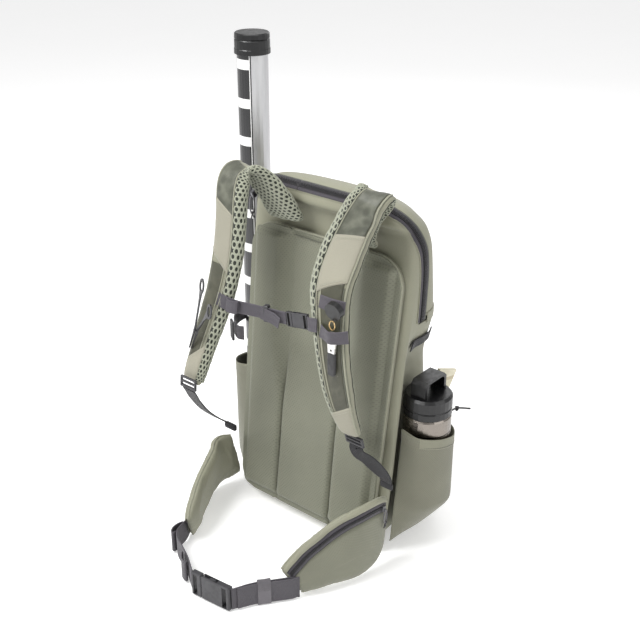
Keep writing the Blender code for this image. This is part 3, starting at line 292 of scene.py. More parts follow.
def plain_thread(name, colour, roughness=0.7, pitch=0.0012):
    """Yarn, braid or piping: a twist of fine fibres."""
    f = Finish(name, roughness, Sheen_Weight=0.2, Sheen_Roughness=0.5)
    u, v, _ = f.axes(f.uv)
    twist = f.wave(f.sum("ADD", u, v), pitch)
    fuzz = f.noise(f.place, 900.0, 3.0)
    f.colour(f.mix(f.sum("MULTIPLY", twist, f.ramp(fuzz, 0.3, 0.7)), shade(colour, 0.75),
                   shade(colour, 1.15)))
    return f.bump(f.sum("ADD", twist, fuzz), 0.0003, 0.6)


def moulded(name, colour, roughness, grain=0.4, coat=0.0):
    """Moulded plastic: a spark-eroded grain, faint flow and rubbed high spots."""
    f = Finish(name, roughness, Coat_Weight=coat, Coat_Roughness=0.12)
    flow = f.noise(f.place, 35.0, 3.0)
    fine = f.noise(f.place, 1400.0, 2.0)
    f.colour(f.mix(f.ramp(flow, 0.35, 0.65), shade(colour, 0.85), shade(colour, 1.18)))
    f.rough(f.ramp(f.noise(f.place, 160.0, 4.0), 0.35, 0.7, roughness * 0.85, roughness * 1.25))
    return f.bump(fine, 0.00012, grain)


def brushed(name, colour, roughness, stretch=(1.0, 1.0, 40.0), ring=None):
    """Drawn or brushed metal: fine lines round or along the piece, with a few handling marks."""
    f = Finish(name, roughness, 1.0, Anisotropic=0.35)
    lines = f.noise(f.place, 60.0, 4.0, stretch)
    marks = f.noise(f.place, 22.0, 5.0)
    tone = f.mix(f.ramp(lines, 0.3, 0.7), shade(colour, 0.86), shade(colour, 1.08))
    tone = f.mix(f.ramp(marks, 0.55, 0.75, 0.0, 0.35), tone, shade(colour, 0.7))
    if ring:
        height = f.axes(f.place)[2]
        near = f.sum("ABSOLUTE", f.sum("SUBTRACT", height, ring))
        tone = f.mix(f.ramp(near, 0.0007, 0.0010, 1.0, 0.0), tone, (0.03, 0.028, 0.026))
    f.colour(tone)
    f.rough(f.ramp(lines, 0.3, 0.7, roughness * 0.8, roughness * 1.3))
    return f.bump(lines, 0.00006, 0.6)


# ---- mesh helpers -----------------------------------------------------------------------------
def body_of(node):
    """The name of the CAD body that a node rides on."""
    holder = NODES[node].parent
    return next(name for name, empty in frame["bodies"].items() if empty is holder)


def add_piece(name, mesh, material, body, node=None, smooth=60):
    """Links a mesh as a piece of the object that rides on body and may stand for a CAD node."""
    piece = bpy.data.objects.new(name, mesh)
    bpy.context.scene.collection.objects.link(piece)
    mesh.materials.append(material)
    if smooth is not None:
        mesh.shade_smooth()
        mesh.set_sharp_from_angle(angle=math.radians(smooth))
    if node:
        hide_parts(*([node] if isinstance(node, str) else node))
    if body:
        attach(piece, body)
    return piece


def grid_mesh(name, rows, closed_u=False, caps=False, uv_rows=None):
    """A mesh through rows of points, with UVs in metres along u (in a row) and v (row to row)."""
    bm = bmesh.new()
    layer = bm.loops.layers.uv.new("UVMap")
    verts = [[bm.verts.new(p) for p in row] for row in rows]
    wide, tall = len(rows[0]), len(rows)
    middle = rows[tall // 2]
    us = [0.0]
    for a, b in zip(middle, middle[1:] + middle[:1]):
        us.append(us[-1] + (b - a).length)
    centre = us[wide - 1] / 2 if not closed_u else 0.0
    us = [u - centre for u in us]
    vs = [0.0]
    for a, b in zip(rows, rows[1:]):
        vs.append(vs[-1] + (b[wide // 2] - a[wide // 2]).length)
    for k in range(tall - 1):
        for i in range(wide if closed_u else wide - 1):
            j = (i + 1) % wide
            face = bm.faces.new((verts[k][i], verts[k][j], verts[k + 1][j], verts[k + 1][i]))
            corners = ((us[i], vs[k]), (us[i + 1], vs[k]), (us[i + 1], vs[k + 1]), (us[i], vs[k + 1]))
            for loop, corner in zip(face.loops, corners):
                loop[layer].uv = uv_rows(i, corner) if uv_rows else corner
    if caps:
        for ring in (verts[0][::-1], verts[-1]):
            face = bm.faces.new(ring)
            for loop in face.loops:
                loop[layer].uv = (loop.vert.co.x, loop.vert.co.y)
    mesh = bpy.data.meshes.new(name)
    bm.to_mesh(mesh)
    bm.free()
    return mesh


def apply_modifiers(piece):
    """Bakes every modifier of a piece into its mesh."""
    depsgraph = bpy.context.evaluated_depsgraph_get()
    depsgraph.update()
    made = bpy.data.meshes.new_from_object(piece.evaluated_get(depsgraph), depsgraph=depsgraph)
    piece.modifiers.clear()
    old = piece.data
    piece.data = made
    made.name = old.name
    bpy.data.meshes.remove(old)
    return piece


def thicken(piece, thickness, offset):
    """Gives a sheet its cloth thickness, about its middle at offset 0 and outward at 1."""
    wall = piece.modifiers.new("Wall", "SOLIDIFY")
    wall.thickness, wall.offset = thickness, offset
    return piece


def soften(piece, width, segments=2, angle=35):
    """Rounds the sharp edges of a piece."""
    edge = piece.modifiers.new("Edges", "BEVEL")
    edge.width, edge.segments, edge.limit_method = width, segments, "ANGLE"
    edge.angle_limit = math.radians(angle)
    edge.harden_normals = True
    return piece


def subdivide(piece, levels=1):
    """Smooths a piece by subdivision."""
    smooth = piece.modifiers.new("Smooth", "SUBSURF")
    smooth.levels = smooth.render_levels = levels
    return piece


def project_uvs(mesh):
    """UVs in metres, flat along each face's main direction."""
    layer = mesh.uv_layers.get("UVMap") or mesh.uv_layers.new(name="UVMap")
    co = np.array([v.co for v in mesh.vertices], float).reshape(-1, 3)
    loops = np.zeros(len(mesh.loops), int)
    mesh.loops.foreach_get("vertex_index", loops)
    normals = np.zeros(len(mesh.polygons) * 3)
    mesh.polygons.foreach_get("normal", normals)
    main = np.abs(normals.reshape(-1, 3)).argmax(axis=1)
    totals = np.zeros(len(mesh.polygons), int)
    mesh.polygons.foreach_get("loop_total", totals)
    main = np.repeat(main, totals)
    points = co[loops]
    pick = np.array([(1, 2), (0, 2), (0, 1)])[main]
    uv = np.stack([points[np.arange(len(points)), pick[:, 0]],
                   points[np.arange(len(points)), pick[:, 1]]], 1)
    layer.data.foreach_set("uv", uv.astype(np.float32).ravel())
    return mesh


def smooth_points(points, count):
    """Catmull-Rom points through tuples of any length, evenly spaced in the parameter."""
    rows = [Vector(p) for p in points]
    rows = [2 * rows[0] - rows[1]] + rows + [2 * rows[-1] - rows[-2]]
    spans = len(rows) - 3
    out = []
    for i in range(count):
        place = spans * i / (count - 1)
        k = min(int(place), spans - 1)
        t = place - k
        a, b, c, d = rows[k:k + 4]
        out.append(0.5 * (2 * b + (c - a) * t + (2 * a - 5 * b + 4 * c - d) * t * t
                          + (3 * b - a - 3 * c + d) * t ** 3))
    return out


def even_points(points, spacing):
    """Points along a polyline at an even spacing."""
    lengths = [0.0]
    for a, b in zip(points, points[1:]):
        lengths.append(lengths[-1] + (b - a).length)
    count = max(int(round(lengths[-1] / spacing)), 1)
    out, k = [], 0
    for i in range(count + 1):
        want = lengths[-1] * i / count
        while k < len(points) - 2 and lengths[k + 1] < want:
            k += 1
        span = lengths[k + 1] - lengths[k]
        out.append(points[k].lerp(points[k + 1], (want - lengths[k]) / span if span else 0.0))
    return out


def even_row(points, count):
    """A polyline resampled to count even spans."""
    total = sum((b - a).length for a, b in zip(points, points[1:]))
    out = even_points(points, total / count)
    return out[:count + 1]


def strip_frames(stations, count):
    """Stations are (centre, across, width, thickness); returns the frames along them."""
    rows = [tuple(s[0]) + tuple(s[1]) + tuple(s[2:]) for s in stations]
    samples = smooth_points(rows, count)
    centres = [Vector(s[:3]) for s in samples]
    frames = []
    for i, s in enumerate(samples):
        tangent = (centres[min(i + 1, count - 1)] - centres[max(i - 1, 0)]).normalized()
        across = Vector(s[3:6])
        across = (across - tangent * across.dot(tangent)).normalized()
        frames.append((centres[i], across, tangent.cross(across), s[6], s[7]))
    return frames


def superellipse(width, thickness, power, count):
    """A rounded section as (across, out) points."""
    out = []
    for i in range(count):
        angle = 2 * math.pi * i / count
        c, s = math.cos(angle), math.sin(angle)
        out.append((math.copysign(abs(c) ** (2 / power), c) * width / 2,
                    math.copysign(abs(s) ** (2 / power), s) * thickness / 2))
    return out


def web_section(width, thickness):
    """A woven strap's section: flat faces and round selvedges."""
    w, t = width / 2, thickness / 2
    r = t * 0.9
    half = [(-w + 2 * r, -t * 0.86), (0, -t * 0.86), (w - 2 * r, -t * 0.86), (w - r, -t),
            (w - 0.3 * r, -0.7 * t),
            (w, 0)]
    right = half + [(x, -y) for x, y in half[-2::-1]]
    left = [(-x, -y) for x, y in half[3:]][0:3]
    return right + left + [(-w + 0.3 * r, -0.7 * t), (-w + r, -t)]


def strap(name, stations, count, material, body, node=None):
    """Webbing swept through its stations, with UVs centred across it."""
    rows, flat = [], []
    for centre, across, normal, width, thickness in strip_frames(stations, count):
        outline = web_section(width, thickness)
        rows.append([centre + across * u + normal * v for u, v in outline])
        flat = [u for u, v in outline] + [outline[0][0]]

    def place_uv(i, corner):
        on_right = abs(corner[0] - us[i]) < 1e-9
        return (flat[i] if on_right else flat[i + 1], corner[1])

    us = [0.0]
    for a, b in zip(rows[count // 2], rows[count // 2][1:] + rows[count // 2][:1]):
        us.append(us[-1] + (b - a).length)
    mesh = grid_mesh(name, rows, closed_u=True, caps=True, uv_rows=place_uv)
    return add_piece(name, mesh, material, body, node, 50)


def tube_rows(points, radius, sides=8):
    """Rings round a path, without twist."""
    rows = []
    normal = None
    last = len(points) - 1
    for i, p in enumerate(points):
        tangent = (points[min(i + 1, last)] - points[max(i - 1, 0)]).normalized()
        if normal is None:
            normal = tangent.orthogonal()
        normal = (normal - tangent * normal.dot(tangent)).normalized()
        other = tangent.cross(normal)
        rows.append([p + (normal * math.cos(a) + other * math.sin(a)) * radius
                     for a in [2 * math.pi * k / sides for k in range(sides)]])
    return rows


def tube(name, points, radius, material, body, node=None, sides=8):
    """A round cord, piping or bead along a path."""
    points = [Vector(p) for p in points]
    mesh = grid_mesh(name, tube_rows(points, radius, sides), closed_u=True, caps=True)
    return add_piece(name, mesh, material, body, node)


def gather(name, parts, material, body, node=None, smooth=60):
    """One piece from many small closed shells, each a list of rings of points."""
    bm = bmesh.new()
    layer = bm.loops.layers.uv.new("UVMap")
    for rings in parts:
        verts = [[bm.verts.new(p) for p in ring] for ring in rings]
        count = len(verts[0])
        for k in range(len(verts) - 1):
            for i in range(count):
                j = (i + 1) % count
                bm.faces.new((verts[k][i], verts[k][j], verts[k + 1][j], verts[k + 1][i]))
        bm.faces.new(verts[0][::-1])
        bm.faces.new(verts[-1])
    for face in bm.faces:
        for loop in face.loops:
            loop[layer].uv = (loop.vert.co.x + loop.vert.co.y, loop.vert.co.z)
    bmesh.ops.recalc_face_normals(bm, faces=bm.faces)
    mesh = bpy.data.meshes.new(name)
    bm.to_mesh(mesh)
    bm.free()
    return add_piece(name, mesh, material, body, node, smooth)


def oriented_box(centre, x, y, z, size, pinch=0.8):
    """Rings of a small block along x, its ends drawn in by pinch."""
    hx, hy, hz = (s / 2 for s in size)
    rings = []
    for along, scale in ((-1.0, pinch), (-0.7, 1.0), (0.7, 1.0), (1.0, pinch)):
        rings.append([centre + x * hx * along + y * hy * scale * a + z * hz * scale * b
                      for a, b in ((-1, -0.6), (-0.6, -1), (0.6, -1), (1, -0.6), (1, 0.6), (0.6, 1), (-0.6, 1), (-1, 0.6))])
    return rings


def stitches(name, path, normals, material, body, pitch=0.0034, length=0.0024, width=0.0006):
    """A run of stitches lying on a surface; normals go with the path's points."""
    lookup = list(zip(path, normals))
    parts = []
    run = even_points(path, pitch)
    for a, b in zip(run, run[1:]):
        ahead = (b - a).normalized()
        spot = (a + b) / 2
        normal = min(lookup, key=lambda row: (row[0] - spot).length_squared)[1]
        side = normal.cross(ahead).normalized()
        parts.append(oriented_box(spot + normal * width * 0.25, ahead, side, normal,
                                  (length, width, width * 0.9), 0.5))
    return gather(name, parts, material, body)


def surface_tree(mesh):
    """A nearest-point tree over a mesh in the row frame."""
    return BVHTree.FromPolygons([v.co.copy() for v in mesh.vertices],
                                [tuple(p.vertices) for p in mesh.polygons])


def settle(tree, point, lift):
    """A point moved to the nearest place on a surface and lifted off it."""
    spot, normal, _, _ = tree.find_nearest(point)
    return spot + normal * lift, normal


def inflate(piece, voxel, cap, pressure=4.0):
    """Cloth under pressure swells a pad between its edges; no point moves further than cap."""
    remesh = piece.modifiers.new("Even", "REMESH")
    remesh.mode, remesh.voxel_size = "VOXEL", voxel
    apply_modifiers(piece)
    cloth = piece.modifiers.new("Cloth", "CLOTH")
    cloth.settings.quality = 4
    cloth.settings.mass = 0.25
    cloth.settings.tension_stiffness = cloth.settings.compression_stiffness = 14
    cloth.settings.shear_stiffness = 5
    cloth.settings.bending_stiffness = 0.6
    cloth.settings.use_pressure = True
    cloth.settings.uniform_pressure_force = pressure
    cloth.settings.effector_weights.gravity = 0
    cloth.collision_settings.use_collision = False
    cloth.point_cache.frame_start, cloth.point_cache.frame_end = 1, 20
    rest = np.array([v.co for v in piece.data.vertices], float)
    scene = bpy.context.scene
    for step in range(1, 21):
        scene.frame_set(step)
    depsgraph = bpy.context.evaluated_depsgraph_get()
    swollen = piece.evaluated_get(depsgraph).to_mesh()
    moved = np.array([v.co for v in swollen.vertices], float)
    piece.evaluated_get(depsgraph).to_mesh_clear()
    piece.modifiers.clear()
    shift = moved - rest
    size = np.linalg.norm(shift, axis=1)
    shift *= (np.minimum(size, cap) / np.maximum(size, 1e-9))[:, None]
    piece.data.vertices.foreach_set("co", (rest + shift).astype(np.float32).ravel())
    piece.data.update()
    scene.frame_set(1)
    subdivide(piece)
    apply_modifiers(piece)
    piece.data.shade_smooth()
    return piece


# ---- materials --------------------------------------------------------------------------------
SAGE = (0.236, 0.234, 0.170)
SAGE_DARK = (0.160, 0.162, 0.116)


def build_materials():
    """Every finish of the pack by its short name."""
    m = {
        "bag": coated_fabric("bag_fabric", SAGE),
        "bag_dark": coated_fabric("belt_fabric", shade(SAGE, 0.86)),
        "ripstop": stretch_mesh("belt_ripstop", shade(SAGE_DARK, 1.08), 0.0020),
        "light": coated_fabric("light_patch_fabric", (0.285, 0.272, 0.212), worn=1.06),
        "panel": panel_fabric("panel_knit", (0.176, 0.180, 0.130)),
        "pocket": stretch_mesh("pocket_stretch", shade(SAGE, 0.72)),
        "camo": camo_fabric("camo_print", (0.055, 0.058, 0.040), (0.135, 0.140, 0.105)),
        "olive": camo_fabric("olive_print", (0.045, 0.045, 0.026), (0.080, 0.078, 0.050)),
        "mesh": plain_thread("spacer_mesh", (0.37, 0.385, 0.295), 0.8, 0.0009),
        "mesh_dark": plain_thread("spacer_core", (0.022, 0.026, 0.018), 0.9),
        "piping": plain_thread("piping_cord", (0.33, 0.33, 0.245), 0.7, 0.0010),
        "piping_dark": plain_thread("piping_shadow", (0.13, 0.135, 0.10), 0.75, 0.0010),
        "thread": plain_thread("stitch_thread", (0.40, 0.395, 0.31), 0.7, 0.0005),
        "thread_dark": plain_thread("dark_thread", (0.07, 0.07, 0.06), 0.7, 0.0005),
        "cord": plain_thread("black_cord", (0.035, 0.034, 0.038), 0.65, 0.0013),
        "grey_cord": plain_thread("grey_cord", (0.16, 0.155, 0.165), 0.65, 0.0013),
        "belt_web": webbing("belt_webbing", (0.062, 0.057, 0.066), 0.038),
        "sternum_web": webbing("sternum_webbing", (0.066, 0.060, 0.071), 0.020, 0.0022),
        "gear_web": webbing("gear_webbing", (0.070, 0.063, 0.075), 0.019, 0.0022),
        "side_web": webbing("side_webbing", (0.060, 0.055, 0.063), 0.025, 0.0022),
        "black_web": webbing("black_webbing", (0.012, 0.0115, 0.014), 0.025, 0.0022),
        "elastic": webbing("keeper_elastic", (0.105, 0.098, 0.108), 0.044, 0.0016),
        "tape": plain_thread("zip_tape", (0.014, 0.012, 0.016), 0.75, 0.0011),
        "tape_grey": plain_thread("grey_zip_tape", (0.055, 0.049, 0.060), 0.75, 0.0011),
        "coil": moulded("zip_coil", (0.009, 0.008, 0.010), 0.38, 0.2),
        "zip_metal": brushed("slider_metal", (0.20, 0.20, 0.21), 0.32),
        "buckle": moulded("buckle_acetal", (0.035, 0.034, 0.038), 0.42, 0.6),
        "gloss": moulded("gloss_black", (0.004, 0.004, 0.0045), 0.34, 0.15, 0.05),
        "rubber": moulded("soft_sleeve", (0.030, 0.030, 0.031), 0.55, 0.8),
        "nipper": brushed("nipper_steel", (0.72, 0.71, 0.69), 0.24),
        "gunmetal": brushed("forceps_steel", (0.085, 0.085, 0.090), 0.42),
        "brass": brushed("ring_brass", (0.62, 0.44, 0.22), 0.28),
        "steel": brushed("bottle_steel", (0.25, 0.225, 0.20), 0.27, (1.0, 1.0, 70.0), 0.2085),
        "frame": moulded("frame_sheet", (0.03, 0.03, 0.03), 0.6, 0.5),
    }
    m["enamel"] = tube_enamel()
    m["paper"] = waxed_paper()
    return m


def tube_enamel():
    """A rod tube: gloss black over two thirds of its round, bare satin aluminium on the rest."""
    f = Finish("tube_finish", 0.25, 0.0, Coat_Weight=0.35, Coat_Roughness=0.08)
    x, y, z = f.axes(f.place)
    low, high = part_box("rod_tube")
    centre = (Vector(low) + Vector(high)) / 2
    turn = f.sum("ARCTAN2", f.sum("SUBTRACT", y, centre.y), f.sum("SUBTRACT", x, centre.x))
    bare = f.sum("MULTIPLY", f.ramp(turn, -0.92, -0.90), f.ramp(turn, 1.90, 1.92, 1.0, 0.0))
    line_at = f.sum("ABSOLUTE", f.sum("SUBTRACT", turn, -1.02))
    line = f.ramp(line_at, 0.018, 0.030, 1.0, 0.0)
    height = f.sum("SUBTRACT", z, centre.z)
    band = f.sum("MULTIPLY",
                 f.ramp(f.sum("ABSOLUTE", f.sum("SUBTRACT", turn, -1.62)), 0.56, 0.58, 1.0, 0.0),
                 f.ramp(f.wave(height, 0.059), 0.84, 0.87))
    marks = f.noise(f.place, 55.0, 4.0, (1.0, 1.0, 0.2))
    grey = f.mix(f.ramp(marks, 0.3, 0.7), (0.50, 0.50, 0.51), (0.60, 0.60, 0.61))
    black = f.mix(f.ramp(marks, 0.5, 0.8, 0.0, 0.4), (0.010, 0.010, 0.011), (0.03, 0.03, 0.03))
    painted = f.mix(f.sum("MAXIMUM", line, band), black, (0.78, 0.78, 0.77))
    f.colour(f.mix(bare, painted, grey))
    f.feed(f.sum("MULTIPLY", bare, 0.85), f.shader.inputs["Metallic"])
    f.rough(f.sum("ADD", f.ramp(marks, 0.3, 0.7, 0.20, 0.30), f.sum("MULTIPLY", bare, 0.14)))
    return f.bump(f.sum("ADD", f.sum("MULTIPLY", bare, -0.6), f.sum("MULTIPLY", marks, 0.1)), 0.0002, 0.5)


def waxed_paper():
    """A waxed paper packet: soft creases, fibres and a plain tan band."""
    f = Finish("packet_paper", 0.55, Coat_Weight=0.1, Coat_Roughness=0.4)
    creases = f.noise(f.place, 38.0, 5.0)
    fibres = f.noise(f.place, 500.0, 3.0, (1.0, 1.0, 0.3))
    height = f.axes(f.place)[2]
    band = f.sum("MULTIPLY", f.ramp(height, 0.2540, 0.2543), f.ramp(height, 0.2600, 0.2603, 1.0, 0.0))
    tone = f.mix(f.ramp(creases, 0.35, 0.7), (0.63, 0.59, 0.44), (0.74, 0.70, 0.55))
    tone = f.mix(f.ramp(fibres, 0.55, 0.8, 0.0, 0.4), tone, (0.50, 0.44, 0.30))
    f.colour(f.mix(f.sum("MULTIPLY", band, 0.6), tone, (0.42, 0.34, 0.20)))
    return f.bump(f.sum("ADD", creases, f.sum("MULTIPLY", fibres, 0.2)), 0.0016, 0.7)


build_camera()
build_studio()
M = build_materials()


def paint(material, nodes):
    """Gives kept CAD nodes a finish."""
    for name in nodes:
        for slot in NODES[name].material_slots:
            slot.link = "OBJECT"
            slot.material = material


def build_floor():
    """A wide pale floor that reads as white paper."""
    bm = bmesh.new()
    bmesh.ops.create_grid(bm, x_segments=8, y_segments=8, size=12.0)
    mesh = bpy.data.meshes.new("floor")
    bm.to_mesh(mesh)
    bm.free()
    floor = bpy.data.objects.new("floor", mesh)
    bpy.context.scene.collection.objects.link(floor)
    f = Finish("floor_paper", 0.75)
    f.colour(f.mix(f.noise(f.place, 3.0), (0.88, 0.88, 0.88), (0.90, 0.90, 0.90)))
    f.shader.inputs["Emission Color"].default_value = (1.0, 1.0, 1.0, 1.0)
    f.shader.inputs["Emission Strength"].default_value = 0.30
    mesh.materials.append(f.bump(f.noise(f.place, 300.0), 0.00005, 0.3))


build_floor()


# ---- the bag ----------------------------------------------------------------------------------
PANEL_LEAN = math.radians(7.0)
PANEL_BASE_Y, PANEL_STAND = -0.105, 0.016
PANEL_LOW, PANEL_TOP = 0.022, 0.486
PANEL_HALF_LOW, PANEL_HALF_TOP = 0.135, 0.144
PANEL_UP = Vector((0, math.sin(PANEL_LEAN), math.cos(PANEL_LEAN)))
PANEL_OUT = Vector((0, -math.cos(PANEL_LEAN), math.sin(PANEL_LEAN)))
BAG_HEIGHT, BAG_WALL, HINGE_Z = 0.560, 0.0028, 0.380
SIDE_LOW, BACK_HALF = 0.128, 0.155
POCKET_RIM_BACK, POCKET_RIM_FRONT = 0.217, 0.186


def between(value, table):
    """Linear interpolation in (input, output) rows."""
    if value <= table[0][0]:
        return table[0][1]
    for (a, fa), (b, fb) in zip(table, table[1:]):
        if value <= b:
            return fa + (fb - fa) * (value - a) / (b - a)
    return table[-1][1]


def step(value, low, high):
    """A smooth step from 0 to 1 between low and high."""
    t = min(max((value - low) / (high - low), 0.0), 1.0)
    return t * t * (3 - 2 * t)


BACK_TABLE = [(0.0, PANEL_BASE_Y + PANEL_STAND), (0.481, -0.0299), (0.523, -0.0299), (0.530, -0.0480),
              (0.545, -0.0460), (0.553, -0.0400), (0.558, -0.0300), (BAG_HEIGHT, -0.0200)]
FRONT_TABLE = [(0.0, 0.112), (0.100, 0.101), (0.250, 0.085), (0.340, 0.075), (0.430, 0.067),
               (0.455, 0.064),
               (0.480, 0.0595), (0.505, 0.053), (0.525, 0.045), (0.540, 0.035), (0.548, 0.026),
               (0.555, 0.012), (0.5585, 0.002), (BAG_HEIGHT, -0.006)]
SIDE_TABLE = [(0.0, SIDE_LOW), (0.240, SIDE_LOW), (0.300, 0.1290), (0.340, 0.1420), (0.370, 0.1525),
              (0.430, 0.155), (BAG_HEIGHT, 0.153)]
CORNER_TABLE = [(0.0, 0.150), (0.12, BACK_HALF), (0.45, BACK_HALF), (BAG_HEIGHT, 0.153)]
BAG_LEVELS = [0.0, 0.003, 0.010, 0.022, 0.070, 0.130, 0.190, 0.240, 0.272, 0.300, 0.322, 0.340, 0.356,
              0.372,
              0.400, 0.440, 0.481, 0.492, 0.508, 0.5225, 0.530, 0.540, 0.547, 0.553, 0.557, BAG_HEIGHT]
DOME_START, DOME_R, BASE_R = 0.492, 0.068, 0.022


def round_off(z):
    """How far the rounded base and top draw the bag in at height z."""
    if z < BASE_R:
        return BASE_R - math.sqrt(BASE_R ** 2 - (BASE_R - z) ** 2)
    if z > DOME_START:
        rise = min(z - DOME_START, DOME_R)
        return DOME_R - math.sqrt(max(DOME_R ** 2 - rise ** 2, 0.0))
    return 0.0


def bag_ring(z):
    """The bag's outline at height z, counterclockwise from the middle of the back."""
    inset = round_off(z)
    low_inset = inset if z < BASE_R else 0.0
    back = between(z, BACK_TABLE) + low_inset
    front = between(z, FRONT_TABLE) - low_inset
    corner = between(z, CORNER_TABLE) - inset
    side = between(z, SIDE_TABLE) - inset
    deep = max(front - back, 0.010)
    r_back = min(0.012, deep * 0.25)
    round_x = 0.045 + 0.035 * step(z, 0.25, 0.48)
    round_y = min(0.060, deep * 0.62)
    half = [(0.0, back), (0.45 * corner, back), (0.82 * corner, back)]
    for angle in (-75, -40, -5):
        a = math.radians(angle)
        half.append((corner - r_back + r_back * math.cos(a), back + r_back + r_back * math.sin(a)))
    half.append(((corner * 2 + side) / 3, back + min(0.016, deep * 0.29)))
    half.append(((corner + side * 2) / 3, back + min(0.026, deep * 0.32)))
    half.append((side, back + min(0.036, deep * 0.35)))
    for angle in (0, 15, 30, 45, 60, 75, 90):
        a = math.radians(angle)
        half.append((side - round_x + round_x * math.cos(a), front - round_y + round_y * math.sin(a)))
    half.append((0.0, front + 0.006 * min(1.0, deep / 0.10)))
    right = [Vector((x, y, z)) for x, y in half]
    return right + [Vector((-p.x, p.y, z)) for p in right[1:-1]][::-1]


def bag_side(y, z):
    """How far the bag's right side reaches at depth y and height z."""
    ring = bag_ring(z)
    edge = [p for p in ring[:len(ring) // 2 + 1] if p.x > 0.05]
    return between(y, sorted((p.y, p.x) for p in edge))


ZIP_LINE = smooth_points([(-0.004, HINGE_Z, 0), (-0.004, 0.420, 0), (-0.0045, 0.455, 0),
                          (-0.0080, 0.485, 0),
                          (-0.0150, 0.509, 0), (-0.0240, 0.531, 0), (-0.0370, 0.5515, 0),
                          (-0.0530, 0.5700, 0)], 41)


def bag_form(name):
    """The whole bag as one smooth closed skin."""
    mesh = grid_mesh(name, [bag_ring(z) for z in BAG_LEVELS], closed_u=True, caps=True)
    piece = bpy.data.objects.new(name, mesh)
    bpy.context.scene.collection.objects.link(piece)
    subdivide(piece, 2)
    apply_modifiers(piece)
    mesh = piece.data
    for v in mesh.vertices:
        n = v.normal
        calm = step(v.co.z, 0.02,
                    0.06) * (1 - step(v.co.z, 0.50, 0.53)) * (0.25 + 0.75 * step(v.co.y, -0.06, -0.02))
        slack = noise.noise(v.co * 11 + Vector((3, 1, 7))) * 0.0022
        fold = noise.noise(Vector((v.co.x * 9, v.co.y * 26, v.co.z * 7)) + Vector((9, 4, 2))) * 0.0012
        v.co += n * (slack + fold - 0.0008) * calm
    mesh.update()
    return piece


def prism(name, outline):
    """A prism along X from a (y, z) outline."""
    rows = [[Vector((x, y, z)) for y, z in outline] for x in (-0.30, 0.30)]
    mesh = grid_mesh(name, rows, closed_u=True, caps=True)
    bm = bmesh.new()
    bm.from_mesh(mesh)
    bmesh.ops.recalc_face_normals(bm, faces=bm.faces)
    bm.to_mesh(mesh)
    bm.free()
    piece = bpy.data.objects.new(name, mesh)
    bpy.context.scene.collection.objects.link(piece)
    piece.hide_render = True
    return piece


def lid_outline(clearance):
    """The region of the front lid as a (y, z) outline, grown or shrunk by clearance."""
    last = len(ZIP_LINE) - 1
    edge = []
    for i, p in enumerate(ZIP_LINE):
        run = (ZIP_LINE[min(i + 1, last)] - ZIP_LINE[max(i - 1, 0)]).normalized()
        edge.append((p[0] + run[1] * clearance, p[1] - run[0] * clearance))
    edge[0] = (edge[0][0], HINGE_Z + abs(clearance) * (1 if clearance > 0 else -1))
    return edge + [(0.20, edge[-1][1]), (0.20, edge[0][1])]


def cut_bag(name, outline, operation, body, node):
    """One shell of the bag: the whole skin with wall thickness, cut by a region."""
    piece = bag_form(name)
    wall = piece.modifiers.new("Wall", "SOLIDIFY")
    wall.thickness, wall.offset = BAG_WALL, -1.0
    apply_modifiers(piece)
    cutter = prism(name + "_region", outline)
    cut = piece.modifiers.new("Cut", "BOOLEAN")
    cut.operation, cut.solver, cut.object = operation, "EXACT", cutter
    apply_modifiers(piece)
    bpy.data.objects.remove(cutter, do_unlink=True)
    project_uvs(piece.data)
    piece.data.materials.clear()
    piece.data.materials.append(M["bag"])
    piece.data.shade_smooth()
    piece.data.set_sharp_from_angle(angle=math.radians(42))
    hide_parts(node)
    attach(piece, body)
    return piece


def build_bag():
    """The shell and the lid; returns the nearest-point tree of the whole skin."""
    cut_bag("bag_shell", lid_outline(-0.0045), "DIFFERENCE", "pack", "main_shell")
    cut_bag("bag_lid", lid_outline(0.0045), "INTERSECT", "lid", "front_lid")
    form = bag_form("bag_guide")
    tree = surface_tree(form.data)
    bpy.data.objects.remove(form, do_unlink=True)
    return tree


BAG = build_bag()


# ---- main zip --------------------------------------------------------------------------------
ZIP_LIFT = 0.0007
CLOTH = 0.0008
TOOTH_PITCH = 0.0023


def zip_side_path():
    """The main zip's line up the right flank of the bag, on its skin."""
    line = []
    for p in ZIP_LINE:
        if p[1] > 0.5540:
            break
        line.append(Vector((bag_side(p[0], p[1]), p[0], p[1])))
    return line


def main_zip_path():
    """Spots and normals along the main zip, up one flank, over the top and down the other."""
    right = zip_side_path()
    top = right[-1]
    corner = [Vector((top.x - 0.004, top.y - 0.0006, top.z + 0.0008))]
    left = [Vector((-p.x, p.y, p.z)) for p in right[::-1]]
    whole = smooth_points(right + corner + [Vector((-c.x, c.y, c.z)) for c in corner] + left, 500)
    return [settle(BAG, p, 0.0) for p in even_points(whole, TOOTH_PITCH)]


def flank_frames(spots):
    """Position, run, outward normal and the direction towards the lid along a path of spots."""
    out = []
    last = len(spots) - 1
    for i, (p, n) in enumerate(spots):
        run = (spots[min(i + 2, last)][0] - spots[max(i - 2, 0)][0]).normalized()
        across = run.cross(n).normalized()
        out.append((p, run, n, across))
    return out


def zip_tape(name, frames, near, far, material, body, node):
    """A ribbon beside a line, from near to far across it, lying on the surface."""
    rows = []
    for p, _, _, across in frames:
        spots = [p + across * (near + (far - near) * k / 4) for k in range(5)]
        rows.append([settle(BAG, spot, ZIP_LIFT)[0] for spot in spots])
    piece = add_piece(name, grid_mesh(name, rows), material, body, node)
    thicken(piece, CLOTH, 0.0)
    return piece


